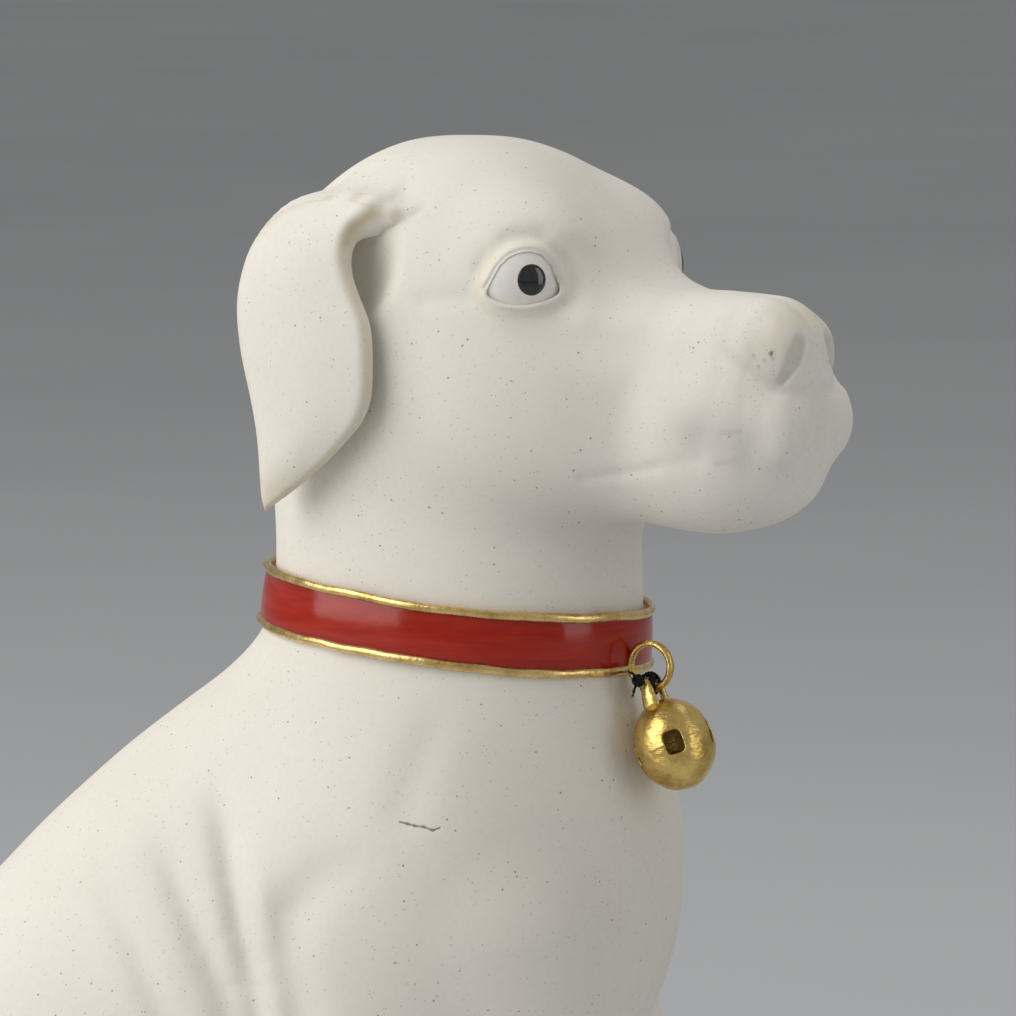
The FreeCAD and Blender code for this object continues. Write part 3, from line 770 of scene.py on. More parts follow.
def place(tree, scale=1.0):
    """Object coordinates in metres, scaled."""
    coordinates = node(tree, "ShaderNodeTexCoord")
    mapping = node(tree, "ShaderNodeMapping")
    mapping.inputs["Scale"].default_value = (scale, scale, scale)
    tree.links.new(coordinates.outputs["Object"], mapping.inputs["Vector"])
    return mapping.outputs["Vector"]


def stretch(tree, vector, tall):
    """The coordinates scaled in height alone, for marks that run level."""
    mapping = node(tree, "ShaderNodeMapping")
    mapping.inputs["Scale"].default_value = (1.0, 1.0, tall)
    tree.links.new(vector, mapping.inputs["Vector"])
    return mapping.outputs["Vector"]


def noise(tree, vector, scale, detail=3.0, rough=0.5):
    made = node(tree, "ShaderNodeTexNoise", Scale=scale, Detail=detail, Roughness=rough)
    tree.links.new(vector, made.inputs["Vector"])
    return made.outputs["Fac"]


def ramp(tree, value, *stops):
    made = node(tree, "ShaderNodeValToRGB")
    elements = made.color_ramp.elements
    while len(elements) < len(stops):
        elements.new(0.5)
    for element, (at, colour) in zip(elements, stops):
        element.position = at
        element.color = (*colour, 1.0) if len(colour) == 3 else colour
    tree.links.new(value, made.inputs["Fac"])
    return made.outputs["Color"]


def grey(v):
    return (v, v, v)


def mix(tree, factor, a, b, blend="MIX"):
    made = node(tree, "ShaderNodeMix", data_type="RGBA", blend_type=blend)
    for socket, value in ((made.inputs[0], factor), (made.inputs[6], a), (made.inputs[7], b)):
        if isinstance(value, bpy.types.NodeSocket):
            tree.links.new(value, socket)
        elif isinstance(value, (int, float)):
            socket.default_value = value
        else:
            socket.default_value = (*value, 1.0)
    return made.outputs[2]


def attribute(tree, name):
    made = node(tree, "ShaderNodeAttribute", attribute_name=name)
    return made.outputs["Fac"]


def bump(tree, shader, height, strength, distance):
    made = node(tree, "ShaderNodeBump", Strength=strength, Distance=distance)
    tree.links.new(height, made.inputs["Height"])
    tree.links.new(made.outputs["Normal"], shader.inputs["Normal"])
    return made


def bisque_material():
    """Unglazed white clay with fine dark specks, rubbed tan edges and painted shade in grey in its hollows."""
    material, tree, shader = new_material("bisque")
    vector = place(tree)
    broad = ramp(tree, noise(tree, vector, 18.0, 4.0), (0.35, (0.815, 0.778, 0.695)),
                 (0.65, (0.855, 0.823, 0.748)))
    fine = noise(tree, vector, 900.0, 2.0)
    colour = mix(tree, ramp(tree, fine, (0.40, grey(0.0)), (0.75, grey(0.22))), broad,
                 (0.73, 0.685, 0.60))
    # specks: small cells whose random value passes a limit, in three sizes
    for scale, limit, size, strength, tint in ((840.0, 0.955, 0.23, 0.85, (0.24, 0.17, 0.11)),
                                               (1700.0, 0.925, 0.30, 0.60, (0.33, 0.25, 0.17)),
                                               (430.0, 0.978, 0.11, 0.75, (0.17, 0.12, 0.08))):
        cells = node(tree, "ShaderNodeTexVoronoi", feature="F1", Scale=scale, Randomness=1.0)
        tree.links.new(vector, cells.inputs["Vector"])
        split = node(tree, "ShaderNodeSeparateColor")
        tree.links.new(cells.outputs["Color"], split.inputs[0])
        chosen = ramp(tree, split.outputs[0], (limit, grey(0.0)), (min(limit + 0.01, 1.0), grey(1.0)))
        dot = ramp(tree, cells.outputs["Distance"], (size * 0.45, grey(1.0)), (size, grey(0.0)))
        both = mix(tree, 1.0, chosen, dot, "MULTIPLY")
        colour = mix(tree, mix(tree, 1.0, both, grey(strength), "MULTIPLY"), colour, tint)
    rim = attribute(tree, "tan")
    worn = mix(tree, 1.0, rim, ramp(tree, noise(tree, vector, 160.0, 3.0), (0.3, grey(0.55)),
                                    (0.7, grey(1.0))), "MULTIPLY")
    colour = mix(tree, worn, colour, (0.60, 0.49, 0.30))
    # painted shade: the 'shade' mask mixes in grey where shadow falls, in hollows, pits and low on the body
    colour = mix(tree, attribute(tree, "shade"), colour, (0.47, 0.46, 0.435))
    colour = mix(tree, attribute(tree, "crack"), colour, (0.24, 0.18, 0.12))
    tree.links.new(colour, shader.inputs["Base Color"])
    rough = ramp(tree, noise(tree, vector, 60.0, 3.0), (0.3, grey(0.62)), (0.7, grey(0.74)))
    tree.links.new(rough, shader.inputs["Roughness"])
    shader.inputs["Specular IOR Level"].default_value = 0.35
    height = mix(tree, 0.35, noise(tree, vector, 420.0, 4.0, 0.6), noise(tree, vector, 2400.0, 2.0))
    bump(tree, shader, height, 0.16, 0.0004)
    return material


def eye_white_material():
    material, tree, shader = new_material("eye_clay")
    vector = place(tree)
    colour = ramp(tree, noise(tree, vector, 700.0, 3.0), (0.3, (0.80, 0.78, 0.725)),
                  (0.7, (0.845, 0.825, 0.775)))
    tree.links.new(colour, shader.inputs["Base Color"])
    shader.inputs["Roughness"].default_value = 0.5
    bump(tree, shader, noise(tree, vector, 1500.0, 2.0), 0.08, 0.0002)
    return material


def glaze_material():
    material, tree, shader = new_material("black_gloss_glaze")
    vector = place(tree)
    colour = ramp(tree, noise(tree, vector, 900.0, 2.0), (0.4, (0.008, 0.008, 0.010)),
                  (0.8, (0.022, 0.020, 0.020)))
    tree.links.new(colour, shader.inputs["Base Color"])
    shader.inputs["Roughness"].default_value = 0.09
    shader.inputs["Coat Weight"].default_value = 0.6
    shader.inputs["Coat Roughness"].default_value = 0.05
    bump(tree, shader, noise(tree, vector, 500.0, 2.0), 0.12, 0.0002)
    return material


def enamel_material():
    """Iron red enamel: slightly uneven in tone, with brush streaks along the band."""
    material, tree, shader = new_material("red_enamel")
    vector = place(tree)
    streaks = noise(tree, stretch(tree, vector, 9.0), 90.0, 4.0, 0.6)
    colour = ramp(tree, streaks, (0.25, (0.30, 0.010, 0.003)), (0.52, (0.375, 0.016, 0.004)),
                  (0.80, (0.44, 0.030, 0.008)))
    colour = mix(tree, attribute(tree, "edge"), colour, (0.20, 0.012, 0.006))
    colour = mix(tree, attribute(tree, "seam"), colour, (0.085, 0.008, 0.006))
    tree.links.new(colour, shader.inputs["Base Color"])
    shader.inputs["Roughness"].default_value = 0.14
    shader.inputs["Specular IOR Level"].default_value = 0.42
    height = mix(tree, 0.4, noise(tree, vector, 120.0, 3.0), noise(tree, vector, 420.0, 2.0))
    bump(tree, shader, height, 0.12, 0.0006)
    return material


def gilt_material(name, base, deep, rough_low, rough_high, dents, brush):
    """Burnished gold over clay or brass: brushed, dented, and darker where the 'dark' mask is: painted shade
    inside the bell and on the beads' inner sides, soft patches on the ring and strap, the pellet a little all
    over.
    """
    material, tree, shader = new_material(name)
    vector = place(tree)
    patch = noise(tree, vector, 230.0, 4.0, 0.6)
    colour = ramp(tree, patch, (0.30, deep), (0.55, base), (0.80, tuple(min(1.0, c * 1.18) for c in base)))
    fine = noise(tree, vector, 1500.0, 2.0)
    colour = mix(tree, ramp(tree, fine, (0.55, grey(0.0)), (0.85, grey(0.45))), colour, deep)
    # the 'dark' mask: painted shade inside the bell and on the beads, and darker patches
    colour = mix(tree, attribute(tree, "dark"), colour, (0.05, 0.028, 0.010))
    tree.links.new(colour, shader.inputs["Base Color"])
    shader.inputs["Metallic"].default_value = 1.0
    tree.links.new(ramp(tree, noise(tree, vector, 600.0, 3.0), (0.3, grey(rough_low)),
                        (0.75, grey(rough_high))), shader.inputs["Roughness"])
    height = mix(tree, brush, noise(tree, vector, dents, 3.0),
                 noise(tree, stretch(tree, vector, 7.0), 700.0, 2.0))
    bump(tree, shader, height, 0.45, 0.0006)
    return material


def thread_material():
    material, tree, shader = new_material("black_thread")
    vector = place(tree)
    colour = ramp(tree, noise(tree, vector, 2600.0, 2.0), (0.35, (0.004, 0.004, 0.005)),
                  (0.75, (0.014, 0.013, 0.014)))
    tree.links.new(colour, shader.inputs["Base Color"])
    shader.inputs["Roughness"].default_value = 0.72
    shader.inputs["Specular IOR Level"].default_value = 0.25
    bump(tree, shader, noise(tree, vector, 5200.0, 2.0), 0.6, 0.0002)
    return material


BISQUE = bisque_material()
EYE_CLAY = eye_white_material()
GLAZE = glaze_material()
ENAMEL = enamel_material()
GILT_CLAY = gilt_material("hand_gilding", (0.84, 0.62, 0.26), (0.58, 0.38, 0.12), 0.20, 0.36, 300.0, 0.20)
GILT_BRASS = gilt_material("gilt_brass", (0.82, 0.60, 0.20), (0.50, 0.32, 0.08), 0.20, 0.38, 330.0, 0.40)
THREAD = thread_material()


def finish_piece(obj, material, body, slot, *nodes):
    obj.data.materials.clear()
    obj.data.materials.append(material)
    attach(obj, body)
    if nodes:
        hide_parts(*nodes)
    return obj


# Head and ears

def detail_zone(co, number):
    """The places of the head that need small faces."""
    m = mirror(co)
    a, b, n = eye_local(m)
    eye = (a * a + b * b < (15.0, 12.0)[min(number, 1)] ** 2) & (n > 2.0)
    if number == 2:
        return eye & (np.abs(line_distance(a, b, LID_LINE)) < 1.1)
    nose = (m[:, 0] > (62.0, 70.0)[min(number, 1)]) & (m[:, 2] > 216.0) & (m[:, 2] < 252.0)
    ear = np.abs(ear_field(co)) < 1.2 if number == 0 else np.zeros(len(co), bool)
    return eye | nose | ear


def make_head_skin():
    pitch = 0.85
    points, quads = surface_net(head_and_ears, (-46, -48, 176), (90, 48, 290), pitch)
    points = settle(head_and_ears, points, 3)
    points, faces = refine(points, quads, detail_zone, 3, head_and_ears)
    normals = unit(gradient(head_and_ears, points, 0.12))
    # colour masks: tan on the ear's edges, nose and lids; painted shade in grey in the nostrils and folds, on
    # the upper lid and in the cheek hollow
    m = mirror(points)
    back, front = (np.interp(points[:, 2], EAR_LINE[2], EAR_LINE[i]) for i in (3, 4))
    near_ear = ear_field(points) < 0.6
    rim = np.minimum(np.abs(points[:, 0] - back), np.abs(points[:, 0] - front))
    tan = np.where(near_ear & (np.abs(points[:, 1]) > 30), hump(rim, 1.3) * 0.45, 0.0)
    tan += np.where(near_ear, hump(points[:, 2] - 214.0, 5.0) * 0.4, 0.0)
    r = m[:, 1]
    fold = drawn(m, ((346, 242), (352, 227), (370, 217), (396, 212)))
    tan += np.where(near_ear & (r > 24), 0.50 * hump(fold, 1.1), 0.0)
    wing = drawn(m, ((770, 342), (785, 322), (804, 315)))
    tan += 0.40 * step(points[:, 0], 66, 70) * hump(wing, 2.6)
    aside = step(r, 6.0, 10.0)
    for line in (((722, 433), (740, 432)), ((716, 464), (736, 461))):
        tan += 0.34 * aside * hump(drawn(m, line), 0.6)
    a, b, n = eye_local(m)
    ring = line_distance(a, b, LID_LINE)
    tan += np.where((n > 4) & (np.abs(ring) < 8), 0.22 * hump(ring - 2.2, 1.0), 0.0)
    front_side = step(points[:, 0], 66.0, 70.0)
    # painted shade in the nostril and in the small pits beside it
    shade = 0.34 * front_side * hump(drawn(m, ((795, 344), (790, 360), (779, 381))), 1.5)
    shade += 0.7 * front_side * hump(drawn(m, ((773, 352), (773, 358))), 0.5)
    for spot in ((753, 355), (758, 366), (764, 360)):
        shade += 0.6 * front_side * hump(drawn(m, (spot, (spot[0] + 1, spot[1] + 1))), 0.3)
    # painted shadow along the upper lid
    shade += np.where((n > 2) & (np.abs(ring) < 8), 0.30 * hump(ring - 0.5, 0.6)
                      * step(b, -2.0, 1.0), 0.0)
    # painted shade in the cheek hollow
    shade += 0.26 * aside * hump(drawn(m, ((706, 442), (744, 452))), 5.0)
    masks = [np.clip(tan, 0, 1), np.clip(shade, 0, 1)]
    # two fields decide which piece a face belongs to
    middles = face_middles(points, faces)
    is_ear = ear_field(middles) < head_field(middles) - 0.02
    row = head_to_row(points)
    row_normals = head_to_row(normals) - np.array([0.0, NECK_Y, 0.0])
    # the neck ends inside the collar
    middles_row = head_to_row(middles)
    above = middles_row[:, 2] > collar_level(middles_row) - 3.5
    faces = [f[::-1] for f in faces]
    for name, keep, cad in (("head_clay", ~is_ear & above, "head"),
                            ("right_ear_clay", is_ear & (middles[:, 1] > 0), "right_ear"),
                            ("left_ear_clay", is_ear & (middles[:, 1] < 0), "left_ear")):
        co, fs, (no, mask_a, mask_b) = subset(row, faces, keep, [row_normals] + masks)
        obj = add_mesh(name, co, fs, no, {"tan": mask_a, "shade": mask_b})
        finish_piece(obj, BISQUE, "figure", "bisque", cad)


def make_eye(side, name):
    """The clay eyeball's shown face, and the glazed oval of the pupil."""
    turned = np.array([1, side, 1])
    centre = (EYE + EYE_A * BALL[0] + np.array([0, 0, BALL[1]]) + EYE_N * BALL[2]) * turned

    def cap(turn, lift, half_a, half_b, radius, rings, around, rim_drop=0.0):
        """A piece of the ball about a direction turned out from straight ahead."""
        c, t = math.cos(lift), math.sin(lift)
        axis = np.array([math.cos(turn) * c, math.sin(turn) * c, t]) * turned
        across = np.array([math.sin(turn), -math.cos(turn), 0.0]) * turned
        above = np.cross(across, axis) * (1.0 if np.cross(across, axis)[2] > 0 else -1.0)
        points, faces = [], []
        for i in range(rings + 1):
            for j in range(around if i else 1):
                angle = 2 * math.pi * j / around
                a, b = half_a * i / rings * math.cos(angle), half_b * i / rings * math.sin(angle)
                far = math.hypot(a, b)
                spread = math.sin(far) / far if far > 1e-9 else 1.0
                way = axis * math.cos(far) + (across * a + above * b) * spread
                points.append(centre + way * (radius - rim_drop * (i / rings) ** 8))
        for j in range(around):
            faces.append([0, 1 + j, 1 + (j + 1) % around])
            for i in range(1, rings):
                p, q = 1 + (i - 1) * around, 1 + i * around
                faces.append([p + j, q + j, q + (j + 1) % around, p + (j + 1) % around])
        if side < 0:
            faces = [f[::-1] for f in faces]
        return np.array(points), faces

    points, faces = cap(EYE_OUT, 0.0, 1.25, 0.95, EYE_R - 0.20, 44, 120)
    a, b = eye_local((points * turned).astype(np.float32))[:2]
    reach = line_distance(a, b, LID_LINE)
    keep = [reach[f].max() < 0.75 for f in faces]
    points, faces, _ = subset(points, faces, keep, [])
    ball = add_mesh(name + "_eyeball_clay", head_to_row(points), faces)
    finish_piece(ball, EYE_CLAY, "figure", "eye_white", name + "_eyeball")
    points, faces = cap(PUPIL_OUT, 0.05, 3.15 / EYE_R, 3.3 / EYE_R, EYE_R + 0.02, 16, 48, 0.3)
    pupil = add_mesh(name + "_pupil_glaze", head_to_row(points), faces)
    finish_piece(pupil, GLAZE, "figure", "black_glaze", name + "_pupil")


# Body

def make_body_skin():
    pitch = 1.35
    points, quads = surface_net(body_field, (-84, -128, -4), (72, 126, 200), pitch)
    points = settle(body_field, points, 3)

    def near_crack(co, number):
        """Small faces along the fine crack of the shoulder."""
        return crack_distance(co) < CRACK_ZONES[number]

    points, faces = refine(points, quads, near_crack, 4, body_field)
    normals = unit(gradient(body_field, points, 0.12))
    middles = face_middles(points, faces)
    owner = np.argmin(np.stack([f - (2.0 if i else 0.0) for i, f in enumerate(body_parts(middles))]), 0)
    below = middles[:, 2] < collar_level(middles) + 3.0
    tan = np.zeros(len(points)) + 0.10 * step(6.0 - points[:, 2], 0.0, 6.0)
    # painted shade: the clay greyer towards the bottom, below 60 mm
    shade = 0.10 * step(60.0 - points[:, 2], 0.0, 60.0)
    crack = hump(crack_distance(points), 0.14)
    for i, name in enumerate(BODY_PIECES):
        co, fs, (no, mask_a, mask_b, mask_c) = subset(points, faces, (owner == i) & below,
                                                      [normals, tan, shade, crack])
        obj = add_mesh(name + "_clay", co, fs, no, {"tan": mask_a, "shade": mask_b, "crack": mask_c})
        finish_piece(obj, BISQUE, "figure", "bisque", name)


make_head_skin()
make_eye(1.0, "right")
make_eye(-1.0, "left")
make_body_skin()


# Collar

def from_collar(q):
    """Collar coordinates (forward, right, up from its middle) to the row frame, in millimetres."""
    c, s = math.cos(math.radians(COLLAR_TILT)), math.sin(math.radians(COLLAR_TILT))
    forward, right, up = q[..., 0], q[..., 1], q[..., 2]
    f = forward * c + up * s
    z = -forward * s + up * c + right * math.tan(math.radians(COLLAR_ROLL)) + COLLAR_Z
    return head_to_row(np.stack([f, right, z], -1))


def wobble(angle, seed, size):
    """A smooth hand-made unevenness round the collar."""
    total = np.zeros_like(angle)
    for i, n in enumerate((3, 5, 8, 13, 21)):
        total += math.cos(seed * 1.7 + i) * np.sin(n * angle + seed * (i + 1) * 2.3) / (1.0 + 0.5 * i)
    return total * size


COLLAR_LENGTH, COLLAR_WIDTH = 38.6, 33.6


def oval(angle, grow, up):
    """The collar's oval at a height on its band, grown outward."""
    half_length, half_width = COLLAR_LENGTH + grow - up * 0.06, COLLAR_WIDTH + grow - up * 0.06
    return half_length * np.cos(angle), half_width * np.sin(angle)


def ring_faces(rows, around, closed):
    """Quads between rows of a ringed mesh, and from the last row to the first if closed."""
    faces = []
    for i in range(rows if closed else rows - 1):
        a = (i + 1) % rows
        for j in range(around):
            k = (j + 1) % around
            faces.append([i * around + j, a * around + j, a * around + k, i * around + k])
    return faces


def make_collar():
    around = 320
    angle = np.arange(around) * 2 * math.pi / around
    # band: from the inner edge over a slightly crowned face
    profile = [(-0.6, -5.4), (1.45, -5.4), (1.78, -5.0), (1.90, -3.4), (2.0, -1.2), (2.0, 1.2),
               (1.90, 3.4), (1.78, 5.0), (1.45, 5.4), (-0.6, 5.4)]
    rows, edge, seam = [], [], []
    for grow, up in profile:
        level = up + wobble(angle, 2.0 if up > 0 else 5.0, 0.16)
        f, r = oval(angle, grow + wobble(angle, 8.0, 0.05), level)
        rows.append(from_collar(np.stack([f, r, level], -1)))
        edge.append(np.full(around, 0.75 * step(abs(up), 3.2, 5.4)))
        back = np.abs((angle - math.pi * 0.86 + math.pi) % (2 * math.pi) - math.pi)
        seam.append(hump(back, 0.02) * 0.9)
    band = add_mesh("collar_band_enamel", np.concatenate(rows), ring_faces(len(profile), around, False), None,
                    {"edge": np.concatenate(edge), "seam": np.concatenate(seam)})
    sub = band.modifiers.new("round", "SUBSURF")
    sub.levels = sub.render_levels = 1
    finish_piece(band, ENAMEL, "figure", "red_enamel", "collar_band")
    # gilt beads: laid by hand, wavy, thicker and thinner
    sides = np.arange(12) * 2 * math.pi / 12
    for name, up, seed in (("collar_upper_bead", 5.4, 2.0), ("collar_lower_bead", -5.4, 5.0)):
        level = up + wobble(angle, seed, 0.20)
        radius = 0.92 + wobble(angle, seed + 9.0, 0.06)
        f, r = oval(angle, 1.72 + wobble(angle, seed + 4.0, 0.10), level)
        nf, nr = np.cos(angle) / COLLAR_LENGTH, np.sin(angle) / COLLAR_WIDTH
        length = np.hypot(nf, nr)
        nf, nr = nf / length, nr / length
        rows = []
        for t in sides:
            flat = 0.82 * radius * math.cos(t)
            rows.append(from_collar(np.stack([f + nf * flat, r + nr * flat,
                                              level + radius * math.sin(t)], -1)))
        faces = [face[::-1] for face in ring_faces(len(sides), around, True)]
        # painted shade on the inner side of each bead, where it meets the band
        low = np.concatenate([np.full(around, 0.35 * max(0.0, -math.cos(t))) for t in sides])
        bead = add_mesh(name + "_gilt", np.concatenate(rows), faces, None, {"dark": low})
        finish_piece(bead, GILT_CLAY, "figure", "gilt_clay", name)


make_collar()


# Ring, lug, bell, pellet, thread

RING_FORWARD, RING_HEIGHT, RING_RADIUS = 45.1, 180.83, 4.5
BAR_HEIGHT = 178.128
BELL_TILT = math.radians(23.5)
BELL_DROP = 13.6


def hang(q, tilt=0.0):
    """Coordinates about the lug's bar (to the left, back, up) to the row frame, in millimetres."""
    x, y, z = q[..., 0], q[..., 1], q[..., 2]
    c, s = math.cos(-tilt), math.sin(-tilt)
    y, z = y * c - z * s, y * s + z * c
    return head_to_row(np.stack([RING_FORWARD - y, -x, BAR_HEIGHT + z], -1))


def net_piece(name, field, low, high, pitch, to_row, material, body, slot, nodes, masks=None, keep=None):
    """A finished piece from a field in local coordinates that to_row takes to the row frame."""
    points, quads = surface_net(field, low, high, pitch)
    points = settle(field, points, 3, 0.2)
    normals = gradient(field, points, 0.03)
    faces = quads.tolist()
    values = masks(points) if masks else {}
    if keep is not None:
        names = list(values)
        chosen = keep(face_middles(points, faces))
        points, faces, extra = subset(points, faces, chosen, [normals] + [values[k] for k in names])
        normals, values = extra[0], dict(zip(names, extra[1:]))
    origin = to_row(np.zeros((1, 3)))
    row_normals = unit(to_row(normals) - origin)
    row = to_row(points)
    # keep the faces turned outward whichever way to_row turns the space
    f = faces[0]
    across = np.cross(row[f[1]] - row[f[0]], row[f[2]] - row[f[0]])
    if across @ row_normals[f].mean(0) < 0:
        faces = [g[::-1] for g in faces]
    obj = add_mesh(name, row, faces, row_normals, values)
    return finish_piece(obj, material, body, slot, *nodes)


def ripple(p, scale, seed):
    """Soft dents: a few crossing waves, between -1 and 1."""
    total = 0.0
    for i in range(4):
        a, b = seed * 1.3 + i * 2.1, seed * 0.7 + i * 1.7
        w = np.array([math.cos(a) * math.cos(b), math.sin(a) * math.cos(b), math.sin(b)], np.float32)
        total = total + np.sin((p @ w) * scale * (1.0 + 0.37 * i) + seed + i)
    return total / 4.0


def bell_field(p):
    middle = (0.0, 0.0, -BELL_DROP)
    dent = 0.10 * ripple(p, 0.75, 2.0) + 0.04 * ripple(p, 2.2, 5.0)
    outer = blob(p, middle, (7.95, 7.95, 9.25)) - dent
    inner = blob(p, middle, (6.9, 6.9, 8.2))
    z = p[:, 2] + BELL_DROP
    outer = outer - 0.09 * hump(z, 0.28)
    d = smax(outer, -inner, 0.3)
    for quarter in range(4):
        angle = math.radians(212.0 - 90.0 * quarter + (0.0, 6.0, 34.0, -8.0)[quarter])
        along = p[:, 0] * math.cos(angle) + p[:, 1] * math.sin(angle)
        across = -p[:, 0] * math.sin(angle) + p[:, 1] * math.cos(angle)
        across = across + 0.12 * ripple(p, 1.1, 7.0 + quarter)
        wide, tall = np.maximum(np.abs(across) - 0.7, 0), np.maximum(np.abs(z) - 1.15, 0)
        hole = np.sqrt(wide * wide + tall * tall) - 1.15
        hole = np.maximum(hole, 3.0 - along)
        d = smax(d, -hole, 0.35)
    return d


def lug_field(p):
    d = trail(p, ((-2.45, 0, -0.2), (-1.2, 0, 0.02), (1.2, 0, 0.02), (2.45, 0, -0.2)),
              (0.60, 0.58, 0.58, 0.60), 0.3)
    leaf = np.stack([p[:, 0], p[:, 1] * 0.55, p[:, 2]], 1)
    d = smin(d, rod(leaf, (-2.5, 0, -0.3), (-3.0, 0, -4.9), 0.58, 1.05), 0.5)
    d = smin(d, rod(p, (2.5, 0, -0.1), (2.7, 0, -4.9), 0.55, 0.85), 0.5)
    return d - 0.05 * ripple(p, 2.6, 3.0)


def ring_field(p):
    """The ring as a flattened strip bent to a loop. p is about its centre: left, back, up."""
    around = np.sqrt(p[:, 1] ** 2 + p[:, 2] ** 2) - RING_RADIUS
    thick = 0.70 + 0.06 * ripple(p, 0.9, 4.0)
    wide = 0.95 + 0.10 * ripple(p, 0.7, 9.0)
    g = np.sqrt((around / thick) ** 2 + (p[:, 0] / wide) ** 2)
    return (g - 1.0) * 0.66


def ring_to_row(q):
    return head_to_row(np.stack([RING_FORWARD - q[..., 1], -q[..., 0], RING_HEIGHT + q[..., 2]], -1))


# painted shade: the inside of the bell's shell is darkened
def bell_inside_shade(p):
    inner = blob(p, (0.0, 0.0, -BELL_DROP), (7.3, 7.3, 8.6))
    return {"dark": np.clip(0.18 * step(-inner, -0.1, 0.5), 0, 1)}


def dent_masks(p):
    return {"dark": 0.25 * np.clip(ripple(p, 1.6, 6.0), 0, 1)}


def make_bell():
    pitch = 0.26
    tilted = lambda q: hang(q, BELL_TILT)
    box = ((-9, -9, -24), (9, 9, -3))
    for name, cad, keep in (
            ("bell_upper_shell", "bell_upper_half", lambda c: c[:, 2] > -BELL_DROP),
            ("bell_lower_shell", "bell_lower_half", lambda c: c[:, 2] <= -BELL_DROP)):
        net_piece(name, bell_field, *box, pitch, tilted, GILT_BRASS, "bell", "gilt_brass", [cad],
                  bell_inside_shade, keep)
    net_piece("bell_strap", lug_field, (-5, -3, -6.4), (5, 3, 2), 0.22, tilted, GILT_BRASS, "bell",
              "gilt_brass", ["bell_lug"], dent_masks, lambda c: blob(c, (0, 0, -BELL_DROP), (7.6, 7.6, 8.9)) > 0)
    net_piece("collar_loop", ring_field, (-2, -6.5, -6.5), (2, 6.5, 6.5), 0.22, ring_to_row, GILT_BRASS,
              "figure", "gilt_brass", ["collar_ring"], dent_masks)
    low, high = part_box("bell_pellet")
    middle = np.array((low + high) / 2.0) / MM

    def pellet_field(p):
        return blob(p, (0, 0, 0), (3.22, 3.22, 3.22)) - 0.05 * ripple(p, 1.9, 8.0)

    net_piece("rattle_pellet", pellet_field, (-4, -4, -4), (4, 4, 4), 0.3, lambda q: q + middle,
              GILT_BRASS, "pellet", "gilt_brass", ["bell_pellet"],
              lambda p: {"dark": np.full(len(p), 0.15)})


